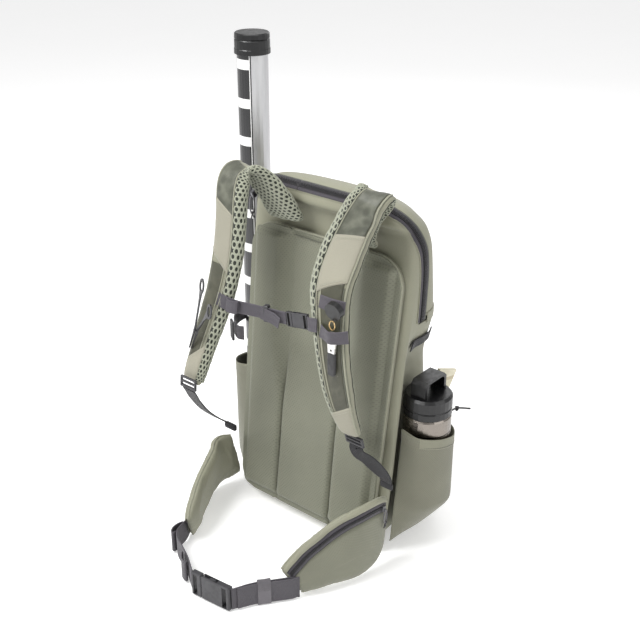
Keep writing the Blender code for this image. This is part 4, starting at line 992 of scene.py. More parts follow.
def coil_teeth(name, frames, side, material, body, reach=0.0017, size=(0.0013, 0.0042, 0.0019),
               lift=0.0018):
    """One side's row of zip elements along a line."""
    parts = []
    for p, run, n, across in frames:
        parts.append(oriented_box(p + across * side * reach + n * lift, run, across, n, size, 0.75))
    return gather(name, parts, material, body)


def build_main_zip():
    """Tapes, elements and welts on both sides of the main zip."""
    frames = flank_frames(main_zip_path())
    zip_tape("zip_tape_bag", frames, -0.0095, -0.0006, M["tape_grey"], "pack", "zip_tape_shell")
    zip_tape("zip_tape_flap", frames, 0.0006, 0.0095, M["tape"], "lid", "zip_tape_lid")
    coil_teeth("zip_coil_bag", frames, -1, M["coil"], "pack")
    coil_teeth("zip_coil_lid", frames[1::2], 1, M["coil"], "lid")
    for sign, body, name in ((-1, "pack", "bag"), (1, "lid", "lid")):
        edge = [settle(BAG, p + across * sign * 0.0102, 0.0006)[0] for p, _, _, across in frames]
        tube("zip_welt_" + name, edge, 0.0009, M["piping_dark" if sign > 0 else "bag"], body, sides=6)


build_main_zip()


# ---- back panel -------------------------------------------------------------------------------
def panel_point(x, up, out):
    """A point on the back panel from its own across, up and out."""
    return Vector((x, PANEL_BASE_Y, 0)) + PANEL_UP * up + PANEL_OUT * out


def panel_half(up):
    """Half width of the panel at a height."""
    return PANEL_HALF_LOW + (PANEL_HALF_TOP - PANEL_HALF_LOW) * up / PANEL_TOP


def panel_levels(count):
    """Heights up the panel, closer together towards its ends."""
    return [PANEL_LOW + (PANEL_TOP - PANEL_LOW) * (0.5 - 0.5 * math.cos(math.pi * k / (count - 1)))
            for k in range(count)]


def panel_outline(up):
    """Half width of the panel at a height, with its rounded corners."""
    half = panel_half(up)
    for edge, radius in ((PANEL_TOP - up, 0.045), (up - PANEL_LOW, 0.035)):
        if edge < radius:
            half -= radius - math.sqrt(max(radius ** 2 - (radius - max(edge, 0.0)) ** 2, 0.0))
    return half


def pad_edge(up):
    """Half width of the channel between the two long pads."""
    low = 1 - step(up, 0.19, 0.33)
    return 0.088 + (0.061 - 0.088) * low


def panel_height(x, up):
    """How far the pads stand out at a place on the panel."""
    low = 1 - step(up, 0.19, 0.33)
    edge = pad_edge(up)
    flank = 0.034 + (0.007 - 0.034) * low
    into_channel = step(edge - abs(x), 0.0, flank)
    lumbar = step(0.056 - abs(x), 0.0, 0.008)
    middle = -0.0125 + 0.0115 * low * lumbar
    height = into_channel * middle
    reach = panel_half(up)
    rim = min(reach - abs(x), up - PANEL_LOW, PANEL_TOP - up)
    height = min(height, -0.0085 * (1 - step(rim, 0.009, 0.020)))
    crease = math.exp(-((abs(x) - edge + flank * 0.5) / 0.0035) ** 2) * low * 0.0022
    swell = 0.0009 * math.sin(max(rim, 0.0) * 26)
    return height - crease + swell * 0.5 - 0.0004


def build_panel():
    """The moulded pads, their piping and the wall down to the bag."""
    rows = []
    for up in panel_levels(231):
        half = panel_outline(up)
        xs = [half * math.sin(math.pi / 2 * (-1 + 2 * i / 140)) for i in range(141)]
        rows.append([panel_point(x, up, panel_height(x, up)) for x in xs])

    mesh = grid_mesh("panel_pad", rows)
    layer = mesh.uv_layers["UVMap"]
    for loop in mesh.loops:
        co = mesh.vertices[loop.vertex_index].co
        layer.data[loop.index].uv = (co.x, co.z)
    panel = add_piece("panel_pad", mesh, M["panel"], "pack", "back_panel", 60)
    thicken(panel, 0.004, 1.0)
    rim = [(panel_outline(up), up) for up in panel_levels(160)]
    loop = [(x, up) for x, up in rim] + [(-x, up) for x, up in rim[::-1]]
    for name, inset, out, radius, key in (("panel_piping", 0.0, -0.0090, 0.0017, "piping"),
                                          ("panel_piping_inner", 0.0085, -0.0078, 0.0009, "piping_dark")):
        path = []
        for x, up in loop:
            mid = (PANEL_LOW + PANEL_TOP) / 2
            shrink = 1 - inset / 0.14
            px, pu = x * shrink, mid + (up - mid) * (1 - inset / 0.232)
            path.append(panel_point(px, pu, out))
        path.append(path[0])
        tube(name, even_points(path, 0.004), radius, M[key], "pack", sides=8)
    wall = []
    for x, up in loop + loop[:1]:
        wall.append([panel_point(x, up, -0.0085 - (PANEL_STAND - 0.0090) * k / 3) for k in range(4)])
    side = add_piece("panel_side_wall", grid_mesh("panel_side_wall", wall), M["bag"], "pack")
    thicken(side, 0.0012, 0.0)


build_panel()


# ---- side pockets -----------------------------------------------------------------------------
POCKET_SPREAD = {
    1: [(0.0240, 0.03), (0.0246, 0.22), (0.034, 0.42), (0.050, 0.62), (0.067, 0.81), (0.083, 0.97),
        (0.097, 1.0), (0.130, 1.0), (0.170, 1.0), (0.192, 1.0)],
    -1: [(0.0200, 0.03), (0.0206, 0.42), (0.026, 0.80), (0.034, 0.98), (0.050, 1.0), (0.075, 1.0),
         (0.100, 1.0), (0.130, 1.0), (0.170, 1.0), (0.192, 1.0)]}
POCKET_BULGE = {
    1: [(0.1850, -0.0460), (0.2045, -0.0240), (0.2095, 0.0020), (0.2035, 0.0230), (0.1800, 0.0480)],
    -1: [(0.1850, -0.0460), (0.2060, -0.0250), (0.2125, 0.0040), (0.2080, 0.0320), (0.1800, 0.0560)]}


def pocket_row(side, z_mid, bulge, z_at, count=61):
    """A level line round a side pocket, from the back seam to the front seam."""
    back_end = Vector((BACK_HALF + 0.0010, between(z_mid, BACK_TABLE) + 0.0185, 0))
    front_end = Vector((0.1245, between(z_mid, FRONT_TABLE) - 0.0180, 0))
    shape = [back_end] + [Vector((x, y, 0)) for x, y in POCKET_BULGE[side]] + [front_end]
    row = []
    for i, p in enumerate(smooth_points(shape, count)):
        share = i / (count - 1)
        spot = back_end.lerp(front_end, share).lerp(p, bulge)
        row.append(Vector((side * spot.x, spot.y, z_at(share))))
    return row if side > 0 else row[::-1]


def pocket_rim(share):
    """Height of the pocket rim, lower at its front."""
    return POCKET_RIM_BACK + (POCKET_RIM_FRONT - POCKET_RIM_BACK) * share


def build_pocket(word, side):
    """A stretch side pocket with its hem and stitching."""
    levels = POCKET_SPREAD[side]
    spread = smooth_points([(z, b, 0) for z, b in levels], 60)
    rows = [pocket_row(side, z, min(b, 1.0), lambda share, z=z: z) for z, b, _ in spread]
    for k in range(1, 9):
        t = k / 8
        rows.append(pocket_row(side, 0.2, 1.0, lambda share,
                               t=t: 0.192 + (pocket_rim(share) - 0.192) * t))
    for k, row in enumerate(rows):
        for i, p in enumerate(row):
            if 3 < k < len(rows) - 6:
                outward = Vector((side, 0.15, 0))
                pull = noise.noise(Vector((p.y * 30, p.z * 8, side * 3.0))) * 0.0014
                ends = min(i, len(row) - 1 - i) / 10
                p += outward * pull * min(ends, 1.0)
    name = "pocket_" + word
    mesh = grid_mesh(name, rows)
    pocket = add_piece(name, mesh, M["pocket"], "pack", "side_pocket_" + word)
    thicken(pocket, 0.0016, 1.0)
    hem = [pocket_row(side, 0.2, 1.0, lambda share,
                      t=t: pocket_rim(share) - 0.016 + 0.017 * t) for t in (0, 0.08, 0.5, 0.92, 1)]
    hem = [[p + Vector((side * 0.0011, 0, 0)) for p in row] for row in hem]
    band = add_piece(name + "_hem", grid_mesh(name + "_hem", hem), M["bag_dark"], "pack")
    thicken(band, 0.0010, 1.0)
    seam = [p + Vector((side * 0.0022, 0, 0)) for p in
            pocket_row(side, 0.2, 1.0, lambda share: pocket_rim(share) - 0.0135)]
    normals = [Vector((side, 0, 0))] * len(seam)
    stitches(name + "_stitch", seam, normals, M["thread_dark"], "pack")


build_pocket("right", 1)
build_pocket("left", -1)


# ---- kept CAD hardware -------------------------------------------------------------------------
PAINTED = {
    "buckle": ["ladder_lock_left", "ladder_lock_right", "waist_buckle_female", "waist_buckle_male",
               "waist_buckle_prong_upper", "waist_buckle_prong_lower", "sternum_buckle_female",
               "sternum_buckle_male", "sternum_keeper", "compression_lock_left"],
    "gloss": ["retractor_body", "rod_tube_cap", "bottle_lid"],
    "rubber": ["nipper_sleeve", "rod_tube_foot"],
    "nipper": ["nipper_head"],
    "brass": ["retractor_link"],
    "gunmetal": ["forceps_half_a", "forceps_half_b", "forceps_pivot"],
    "enamel": ["rod_tube"],
    "steel": ["bottle_body"],
    "paper": ["paper_packet"],
    "zip_metal": ["main_slider", "hip_slider_left", "hip_slider_right"],
    "frame": ["frame_sheet"]}
for key, nodes in PAINTED.items():
    paint(M[key], nodes)


# ---- lid fold ----------------------------------------------------------------------------------
def build_fold():
    """The sewn fold below the front lid, fixed in place; its two rows of stitches ride on the pack and on the lid.
    """
    low, high, count = HINGE_Z - 0.0090, HINGE_Z + 0.0090, 11
    rows = []
    for k in range(count):
        ring = [p for p in bag_ring(low + (high - low) * k / (count - 1)) if p.y > -0.001]
        lift = 0.0004 + 0.0007 * math.sin(math.pi * k / (count - 1))
        rows.append([settle(BAG, p, lift)[0] for p in even_row(ring, 120)])
    fold = add_piece("bag_fold", grid_mesh("bag_fold", rows), M["bag"], None)
    thicken(fold, 0.0008, 0.0)
    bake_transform(fold)
    for label, row, body in (("low", rows[1], "pack"), ("high", rows[-2], "lid")):
        normals = [settle(BAG, p, 0.0)[1] for p in row]
        stitches("bag_fold_stitch_" + label, [p + n * 0.0004 for p, n in zip(row, normals)], normals,
                 M["thread"], body)


build_fold()


# ---- shoulder straps --------------------------------------------------------------------------
X_ACROSS = (1, 0, 0)
STRAP_RIGHT = [(point, X_ACROSS, width, thickness) for point, width, thickness in (
    ((0.066, -0.0480, 0.5000), 0.082, 0.011), ((0.072, -0.0570, 0.520), 0.080, 0.011),
    ((0.087, -0.0600, 0.548), 0.074, 0.012), ((0.104, -0.0615, 0.572), 0.067, 0.013),
    ((0.1155, -0.0710, 0.585), 0.062, 0.014), ((0.1105, -0.0830, 0.573), 0.064, 0.016),
    ((0.097, -0.0870, 0.545), 0.073, 0.016), ((0.085, -0.1040, 0.500), 0.082, 0.016),
    ((0.082, -0.1240, 0.455), 0.080, 0.016), ((0.091, -0.1370, 0.405), 0.070, 0.016),
    ((0.101, -0.1420, 0.350), 0.065, 0.016), ((0.110, -0.1380, 0.295), 0.060, 0.015),
    ((0.117, -0.1250, 0.248), 0.046, 0.014), ((0.119, -0.1190, 0.232), 0.038, 0.012))]
STRAP_LEFT = [(point, X_ACROSS, width, thickness) for point, width, thickness in (
    ((-0.066, -0.0480, 0.5000), 0.082, 0.011), ((-0.070, -0.0570, 0.520), 0.082, 0.011),
    ((-0.079, -0.0680, 0.545), 0.078, 0.012), ((-0.093, -0.0800, 0.569), 0.072, 0.013),
    ((-0.108, -0.0930, 0.580), 0.067, 0.014), ((-0.113, -0.1070, 0.572), 0.065, 0.016),
    ((-0.112, -0.1160, 0.548), 0.064, 0.016), ((-0.110, -0.1230, 0.508), 0.064, 0.016),
    ((-0.109, -0.1320, 0.460), 0.064, 0.016), ((-0.110, -0.1450, 0.415), 0.062, 0.016),
    ((-0.114, -0.1620, 0.370), 0.058, 0.016), ((-0.119, -0.1810, 0.326), 0.052, 0.015),
    ((-0.124, -0.1970, 0.286), 0.046, 0.014), ((-0.128, -0.2050, 0.264), 0.040, 0.012))]
PAD_VOXEL = 0.004
STATIONS = 13
FRAMES = 131
PER_STATION = (FRAMES - 1) // STATIONS


def rim_height(share, thickness):
    """Height of a pad's face above its middle, at a share of its half width."""
    return thickness / 2 * (1 - min(abs(share), 1.0) ** 3.2) ** (1 / 3.2)


def pad_core(name, stations, scale, material, node, cap=0.0022, power=3.2):
    """A padded strap or wing: a soft closed form, swollen by cloth pressure."""
    rows = []
    frames = strip_frames(stations, 61)
    for i, (centre, across, normal, width, thickness) in enumerate(frames):
        close = min(i, len(frames) - 1 - i)
        squeeze = 1.0 if close > 2 else 0.72 + 0.14 * close
        section = superellipse(width * scale, thickness * scale * squeeze, power, 28)
        rows.append([centre + across * u + normal * v for u, v in section])
    mesh = grid_mesh(name, rows, closed_u=True, caps=True)
    core = add_piece(name, mesh, material, "pack", node, 180)
    inflate(core, PAD_VOXEL, cap)
    project_uvs(core.data)
    return core


def face_point(frame_row, share, lift):
    """A point on a strap or wing's outer face."""
    centre, across, normal, width, thickness = frame_row
    return centre + across * (share * width / 2) + normal * (rim_height(share, thickness) + lift)


def facing(name, frames, tree, start, stop, near, far, lift, material, slant,
           cells=12, thick=0.0009):
    """A sewn panel on a strap's outer face between two stations and two shares of its half width."""
    rows = []
    first, last = start * PER_STATION, stop * PER_STATION
    count = max(int(last - first), 4) * 2
    for k in range(count + 1):
        row = []
        for i in range(cells + 1):
            share = near + (far - near) * i / cells
            place = first + (last - first) * k / count + slant * share * PER_STATION
            place = min(max(place, 0), FRAMES - 1.001)
            a, b = frames[int(place)], frames[int(place) + 1]
            spot = face_point(a, share, 0.001).lerp(face_point(b, share, 0.001), place - int(place))
            edge = min(i, cells - i, k, count - k)
            row.append(settle(tree, spot, lift * (0.55 if edge == 0 else 1.0))[0])
        rows.append(row)
    piece = add_piece(name, grid_mesh(name, rows), material, "pack")
    thicken(piece, thick, 0.0)
    return rows


def along_face(frames, tree, start, stop, share, lift):
    """A line along a strap's face between two stations, with its normals."""
    path, normals = [], []
    for k in range(int(start * PER_STATION), int(stop * PER_STATION) + 1):
        spot, normal = settle(tree, face_point(frames[min(k, FRAMES - 1)], share, 0.001), lift)
        path.append(spot)
        normals.append(normal)
    return path, normals


class Wrap:
    """A grid of points read as a smooth sheet, from 0 to 1 each way."""

    def __init__(self, rows):
        self.grid = np.array([[tuple(p) for p in row] for row in rows], float)

    def at(self, u, v):
        tall, wide = self.grid.shape[0] - 1, self.grid.shape[1] - 1
        x = np.clip(np.asarray(u), 0, 1) * wide
        y = np.clip(np.asarray(v), 0, 1) * tall
        i, j = np.minimum(x.astype(int), wide - 1), np.minimum(y.astype(int), tall - 1)
        s, t = (x - i)[..., None], (y - j)[..., None]
        g = self.grid
        return ((g[j, i] * (1 - s) + g[j, i + 1] * s) * (1 - t)
                + (g[j + 1, i] * (1 - s) + g[j + 1, i + 1] * s) * t)

    def normal(self, u, v, step=0.004):
        u, v = np.asarray(u), np.asarray(v)
        along = self.at(u + step, v) - self.at(u - step, v)
        up = self.at(u, v + step) - self.at(u, v - step)
        n = np.cross(along, up)
        return n / np.maximum(np.linalg.norm(n, axis=-1, keepdims=True), 1e-12)


# a mesh cell: its sides, its overlap with its neighbours, its stretch, and its hole's half axes
SIDES, OVERLAP, CELL_STRETCH, HOLE = 12, 1.06, 1.2936, (0.31, 0.42)


def spacer_mesh(name, rows, body, pitch=0.0076, row_pitch=0.0064, outward=1.0):
    """Knitted spacer fabric over a sheet of points: six-sided meshes round open oval holes."""
    wrap = Wrap(rows)
    middle = rows[len(rows) // 2]
    wide = sum((b - a).length for a, b in zip(middle, middle[1:]))
    centre = len(rows[0]) // 2
    tall = sum((b[centre] - a[centre]).length for a, b in zip(rows, rows[1:]))
    columns, lines = max(int(wide / pitch), 2), max(int(tall / row_pitch), 2)
    angles = np.arange(SIDES) * 2 * math.pi / SIDES + math.pi / 2
    sector = math.pi / 3
    reach = OVERLAP * 0.5 / np.cos((angles - math.pi / 2 + sector / 2) % sector - sector / 2)
    outer = np.stack([np.cos(angles) * reach, np.sin(angles) * reach * CELL_STRETCH], 1)
    hole = np.stack([np.cos(angles) * HOLE[0], np.sin(angles) * HOLE[1]], 1)
    rings = [(outer, 0.0006), (outer * 0.72 + hole * 0.28, 0.0012), (hole * 1.08, 0.0010),
             (hole * 0.92, 0.0002)]
    verts, faces = [], []
    for line in range(lines):
        for column in range(columns):
            u0 = (column + 0.5 + (0.5 if line % 2 else 0.0)) / (columns + 0.5)
            v0 = (line + 0.5) / lines
            base = len(verts)
            for shape, lift in rings:
                u = u0 + shape[:, 0] / (columns + 0.5)
                v = v0 + shape[:, 1] / lines
                spots = wrap.at(u, v) + wrap.normal(np.clip(u, 0.01, 0.99),
                                                    np.clip(v, 0.01, 0.99)) * lift * outward
                verts.extend(map(tuple, spots))
            for ring in range(len(rings) - 1):
                for k in range(SIDES):
                    a, b = base + ring * SIDES + k, base + ring * SIDES + (k + 1) % SIDES
                    faces.append((a, b, b + SIDES, a + SIDES))
    mesh = bpy.data.meshes.new(name)
    mesh.from_pydata(verts, [], faces)
    mesh.update()
    project_uvs(mesh)
    return add_piece(name, mesh, M["mesh"], body, None, 180)


def strap_wrap_rows(frames, inner, top_share, back_share, start, stop):
    """Points round a strap from its outer face, over the inner edge, to the far underside."""
    first = math.acos(top_share ** 1.6)
    last = -(math.pi - math.acos(min(back_share, 1.0) ** 1.6))
    rows = []
    for k in range(int(start * PER_STATION), int(stop * PER_STATION) + 1):
        centre, across, normal, width, thickness = frames[min(k, FRAMES - 1)]
        row = []
        for i in range(37):
            angle = first + (last - first) * i / 36
            c, s = math.cos(angle), math.sin(angle)
            u = math.copysign(abs(c) ** (2 / 3.2), c) * width / 2
            v = math.copysign(abs(s) ** (2 / 3.2), s) * thickness / 2
            row.append(centre + across * inner * u + normal * v)
        rows.append(even_row(row, 36))
    return rows


def build_shoulder(word, stations, inner, zones):
    """One shoulder strap: foam core, spacer mesh, facings, pipings and stitching."""
    frames = strip_frames(stations, FRAMES)
    core = pad_core("strap_core_" + word, stations, 0.93, M["bag"], "shoulder_strap_" + word)
    tree = surface_tree(core.data)
    prefix = "strap_" + word + "_"
    top_share = zones["roll"]
    rows = strap_wrap_rows(frames, inner, top_share, 0.93, 0.15, 12.6)
    lined = [[settle(tree, p, 0.0004)[0] for p in row] for row in rows]
    under = add_piece(prefix + "mesh_backing", grid_mesh(prefix + "mesh_backing", lined), M["mesh_dark"],
                      "pack")
    thicken(under, 0.0006, 0.0)
    spacer_mesh(prefix + "spacer_mesh", [[settle(tree, p, 0.0006)[0] for p in row] for row in rows],
                "pack",
                outward=-inner)
    for label, start, stop, near, far, lift, key, slant in zones["facings"]:
        rows = facing(prefix + label, frames, tree, start, stop, -inner * near, -inner * far, lift,
                      M[key], slant)
        if label.startswith("patch"):
            for tag, row in (("top", rows[2]), ("foot", rows[-3])):
                inside = row[1:-1]
                normals = [settle(tree, p, 0.0)[1] for p in inside]
                lifted = [p + n * 0.0005 for p, n in zip(inside, normals)]
                stitches(prefix + label + "_stitch_" + tag, lifted, normals, M["thread"], "pack")
    for label, start, stop, share, radius, key in zones["pipings"]:
        path, normals = along_face(frames, tree, start, stop, -inner * share, 0.0006)
        tube(prefix + label, path, radius, M[key], "pack")
    path, normals = along_face(frames, tree, 4.2, 11.6, inner * (top_share - 0.10), 0.0008)
    stitches(prefix + "roll_stitch", path, normals, M["thread_dark"], "pack")
    path, normals = along_face(frames, tree, 4.3, 12.2, -inner * 0.86, 0.0006)
    stitches(prefix + "edge_stitch", path, normals, M["thread"], "pack")


# facings: name, first and last station, shares of the half width, lift, material, slant
# pipings: name, first and last station, share of the half width, radius, material
build_shoulder("right", STRAP_RIGHT, -1, {
    "roll": 0.48,
    "facings": [("camo", 4.1, 6.6, -0.42, 0.72, 0.0008, "camo", -0.36),
                ("patch_upper", 6.45, 8.0, -0.43, 0.78, 0.0016, "light", -0.36),
                ("olive", 7.95, 11.5, -0.24, 0.66, 0.0008, "olive", -0.3),
                ("patch_lower", 11.3, 12.95, -0.80, 0.88, 0.0016, "light", -0.25)],
    "pipings": [("piping_outer", 4.0, 12.4, 0.80, 0.0016, "piping"),
                ("piping_outer_shadow", 4.0, 12.4, 0.85, 0.0008, "piping_dark"),
                ("piping_inner", 4.1, 12.0, -0.44, 0.0011, "piping"),
                ("piping_olive_inner", 7.9, 11.6, -0.26, 0.0010, "piping"),
                ("piping_olive_outer", 7.9, 11.6, 0.69, 0.0008, "piping_dark")]})
build_shoulder("left", STRAP_LEFT, 1, {
    "roll": 0.42,
    "facings": [("camo", 4.1, 7.0, -0.34, 0.80, 0.0008, "camo", 0.0),
                ("patch_upper", 6.6, 8.45, -0.36, 0.96, 0.0016, "light", 0.5),
                ("olive", 8.4, 11.9, -0.14, 0.72, 0.0008, "olive", 0.0),
                ("patch_lower", 11.3, 12.95, -0.50, 0.94, 0.0016, "light", -0.6)],
    "pipings": [("piping_outer", 4.0, 12.4, 0.86, 0.0014, "piping"),
                ("piping_inner", 4.1, 12.0, -0.37, 0.0012, "piping"),
                ("piping_olive_inner", 8.4, 11.6, -0.16, 0.0011, "piping"),
                ("piping_olive_outer", 8.4, 11.6, 0.75, 0.0008, "piping_dark")]})


# ---- hip belt ---------------------------------------------------------------------------------
WING_RIGHT = [((0.1545, -0.0915, 0.0260), (0.1545, -0.0810, 0.118)),
              ((0.1590, -0.1150, 0.0100), (0.1600, -0.1150, 0.136)),
              ((0.1560, -0.1450, 0.0020), (0.1595, -0.1480, 0.141)),
              ((0.1465, -0.1715, 0.0015), (0.1506, -0.1745, 0.134)),
              ((0.1300, -0.2030, 0.0015), (0.1353, -0.2018, 0.112)),
              ((0.1150, -0.2285, 0.0015), (0.1163, -0.2248, 0.083)),
              ((0.1030, -0.2450, 0.0015), (0.1020, -0.2430, 0.057))]
WING_LEFT = [((-0.1545, -0.0915, 0.0260), (-0.1545, -0.0815, 0.104)),
             ((-0.1680, -0.1190, 0.0100), (-0.1610, -0.1080, 0.110)),
             ((-0.1640, -0.1500, 0.0020), (-0.1540, -0.1330, 0.106)),
             ((-0.1440, -0.1840, 0.0015), (-0.1400, -0.1700, 0.096)),
             ((-0.1250, -0.2125, 0.0015), (-0.1230, -0.2060, 0.086)),
             ((-0.1090, -0.2330, 0.0015), (-0.1070, -0.2350, 0.070)),
             ((-0.0970, -0.2500, 0.0015), (-0.0980, -0.2500, 0.053))]
WING_THICK = 0.014
WING_TIP = 0.009
# distances below a wing's upper edge: the zip's middle, and the top and foot of its tape
ZIP_DROP, ZIP_TOP, ZIP_FOOT = 0.020, 0.0125, 0.0275
HIP_TOOTH_PITCH = 0.0021


def wing_stations(pairs):
    """Stations along a wing from its pairs of edge points."""
    stations = []
    for i, (low, high) in enumerate(pairs):
        up = Vector(high) - Vector(low)
        thick = WING_TIP if i in (0, len(pairs) - 1) else WING_THICK
        stations.append((tuple((Vector(low) + Vector(high)) / 2), tuple(up), up.length, thick))
    return stations


def wing_frames(pairs, side, count):
    """Frames along a wing whose normals point away from the wearer."""
    return [(centre, across, normal * -side, width, thick)
            for centre, across, normal, width, thick in strip_frames(wing_stations(pairs), count)]


def drop_share(row, drop):
    """The share of a wing's half height that lies drop below its upper edge."""
    return 1 - 2 * drop / row[3]


def wing_path(frames, tree, start, stop, share, lift):
    """A line along a wing's outer face, with its normals."""
    path, normals = [], []
    for row in frames[start:stop]:
        spot, normal = settle(tree, face_point(row, share(row) if callable(share) else share, 0.001), lift)
        path.append(spot)
        normals.append(normal)
    return path, normals


def wing_sheet(name, frames, tree, start, stop, low, high, lift, material, cells=8, thick=0.0009,
               swell=0.0):
    """A sewn layer on a wing's outer face between two lines."""
    rows = []
    for k, row in enumerate(frames[start:stop]):
        line = []
        for i in range(cells + 1):
            t = i / cells
            share = low(row) * (1 - t) + high(row) * t
            edge = min(i, cells - i, k, stop - start - 1 - k)
            spot, _ = settle(tree, face_point(row, share, 0.001),
                             lift * (0.5 if edge == 0 else 1.0) + swell * math.sin(math.pi * t))
            line.append(spot)
        rows.append(line)
    piece = add_piece(name, grid_mesh(name, rows), material, "pack")
    thicken(piece, thick, 0.0)
    return rows


def build_wing(word, pairs, side):
    core = pad_core("hip_core_" + word, wing_stations(pairs), 0.965, M["bag"], "hip_wing_" + word, 0.0024,
                    3.4)
    tree = surface_tree(core.data)
    frames = wing_frames(pairs, side, FRAMES)
    prefix = "hip_" + word + "_"
    for label, share in (("piping_top", 0.955), ("piping_foot", -0.955)):
        path, normals = wing_path(frames, tree, 2, FRAMES - 2, share, 0.0006)
        tube(prefix + label, path, 0.0017, M["piping"], "pack")
        path, normals = wing_path(frames, tree, 4, FRAMES - 4, share * 0.93, 0.0005)
        stitches(prefix + label + "_stitch", path, normals, M["thread"], "pack")
    first, last = 7, FRAMES - 6
    wing_sheet(prefix + "top_roll", frames, tree, first - 3, last, lambda r: drop_share(r, ZIP_TOP),
               lambda r: drop_share(r, 0.0030), 0.0008, M["bag"], swell=0.0022)
    build_wing_zip(word, frames, tree, first, last)
    wing_sheet(prefix + "pocket_cloth", frames, tree, first, last, lambda r: -0.90,
               lambda r: max(drop_share(r, ZIP_FOOT + 0.0010), -0.6), 0.0008, M["ripstop"], 12,
               swell=0.0016)
    path, normals = wing_path(frames, tree, first + 2, last - 4, -0.22, 0.0022)
    tube(prefix + "seam", path, 0.0007, M["bag_dark"], "pack")
    path, normals = wing_path(frames, tree, first + 2, last - 4, -0.26, 0.0024)
    stitches(prefix + "seam_stitch", path, normals, M["thread"], "pack")


def build_wing_zip(word, frames, tree, first, last):
    """The tape, dark edges and two rows of teeth of a hip pocket's zip."""
    prefix = "hip_" + word + "_zip_"
    rows = wing_sheet(prefix + "tape", frames, tree, first, last, lambda r: drop_share(r, ZIP_FOOT),
                      lambda r: drop_share(r, ZIP_TOP), 0.0010, M["tape_grey"])
    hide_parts("hip_zip_" + word)
    for label, place in (("edge_low", 0), ("edge_high", -1)):
        tube(prefix + label, [row[place] for row in rows], 0.0008, M["tape"], "pack")
    path, normals = wing_path(frames, tree, first + 4, last - 2, lambda r: drop_share(r, ZIP_DROP), 0.0018)
    lookup = list(zip(path, normals))
    teeth = []
    run = even_points(path, HIP_TOOTH_PITCH)
    for a, b in zip(run, run[1:]):
        ahead = (b - a).normalized()
        normal = min(lookup, key=lambda row: (row[0] - a).length_squared)[1]
        across = normal.cross(ahead).normalized()
        for sign in (-1, 1):
            spot = a + ahead * (HIP_TOOTH_PITCH / 2 if sign > 0 else 0.0) + across * sign * 0.0012
            teeth.append(oriented_box(spot, across, ahead, normal, (0.0032, 0.0013, 0.0018), 0.7))
    gather(prefix + "teeth", teeth, M["coil"], "pack")


build_wing("right", WING_RIGHT, 1)
build_wing("left", WING_LEFT, -1)


# ---- webbings ---------------------------------------------------------------------------------
WEB_UP = (0, 0, 1)
BELT_WEB, SHOULDER_WEB, STERNUM_WEB, GEAR_WEB, SIDE_WEB = 0.038, 0.025, 0.020, 0.019, 0.016
WEB_THICK, THIN_WEB = 0.0022, 0.0018
FOLD_SHAPE = [(0.00, 0.10), (0.10, 0.42), (0.30, 0.80), (0.60, 1.00), (0.88, 0.80), (1.00, 0.45),
              (0.97, 0.14),
              (0.86, 0.02)]
BELT_Z = 0.0225


def web_path(points, across, width, thick):
    """Stations of one width through bare points; across is shared, or a list with one for each."""
    leans = across if isinstance(across, list) else [across] * len(points)
    return [(tuple(p), lean, width, thick) for p, lean in zip(points, leans)]


def belt_path(points, width, thick=WEB_THICK):
    """Stations of upright webbing at the belt's height, from (x, y)."""
    return web_path([(x, y, BELT_Z) for x, y in points], WEB_UP, width, thick)


def fold_loop(start, ahead, out, length, depth, across, width, thick):
    """Stations of a loop of spare webbing that stands off a strap."""
    start, ahead, out = Vector(start), Vector(ahead).normalized(), Vector(out).normalized()
    shape = [start + ahead * length * a + out * depth * b for a, b in FOLD_SHAPE]
    return web_path(shape, across, width, thick)


def build_belt_webbing():
    """The belt's webbing on both sides of the waist buckle."""
    web, spare = M["belt_web"], BELT_WEB * 0.985
    left = strap("hip_web_left", belt_path([
        (-0.1180, -0.2375), (-0.1090, -0.2530), (-0.1040, -0.2700), (-0.0985, -0.2810),
        (-0.0860, -0.2910),
        (-0.0655, -0.3004), (-0.0424, -0.3118), (-0.0230, -0.3240), (-0.0122, -0.3306)], BELT_WEB),
        90, web, None, "hip_webbing_left")
    fold = strap("hip_web_left_fold",
                 fold_loop((-0.1085, -0.2570, BELT_Z), (0.30, -0.95, 0), (-0.95, -0.30, 0),
                                                0.030, 0.0085, WEB_UP, spare, WEB_THICK), 40, web, None)
    short = strap("hip_web_left_tail",
                  fold_loop((-0.0560, -0.3080, BELT_Z), (0.86, -0.50, 0), (-0.50, -0.86, 0),
                                                 0.026, 0.0055, WEB_UP, spare, WEB_THICK), 36, web, None)
    for piece in (left, fold, short):
        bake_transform(piece)
    strap("hip_web_right", belt_path([
        (0.0610, -0.3232), (0.0660, -0.3130), (0.0705, -0.3029), (0.0790, -0.2880), (0.0920, -0.2712),
        (0.1025, -0.2575), (0.1098, -0.2482), (0.1190, -0.2395)], BELT_WEB), 80, web, "pack",
        "hip_webbing_right")
    strap("hip_web_right_layer", belt_path([
        (0.0668, -0.3168), (0.0715, -0.3072), (0.0800, -0.2925), (0.0935, -0.2750), (0.1040, -0.2620),
        (0.1130, -0.2500), (0.1165, -0.2420)], spare, 0.0020), 60, web, "pack")
    build_keeper_band()


def build_keeper_band():
    """The elastic band that holds the belt's spare webbing."""
    run = Vector((0.0130, 0.0168, 0)).normalized()
    out = run.cross(Vector((0, 0, 1))).normalized()
    length, steps = 0.020, 12
    rows = []
    for k in range(steps + 1):
        flare = 0.0006 * abs(k - steps / 2) / (steps / 2)
        middle = Vector((0.0858, -0.2806, BELT_Z)) + run * length * (k / steps - 0.5)
        rows.append([middle + Vector((0, 0, 1)) * u + out * v
                     for u, v in superellipse(0.0425 + flare, 0.0090 + flare, 6.0, 40)])
    mesh = grid_mesh("hip_elastic_keeper", rows, closed_u=True, caps=True)
    soften(add_piece("hip_elastic_keeper", mesh, M["elastic"], "pack", "belt_keeper", 50), 0.0006)


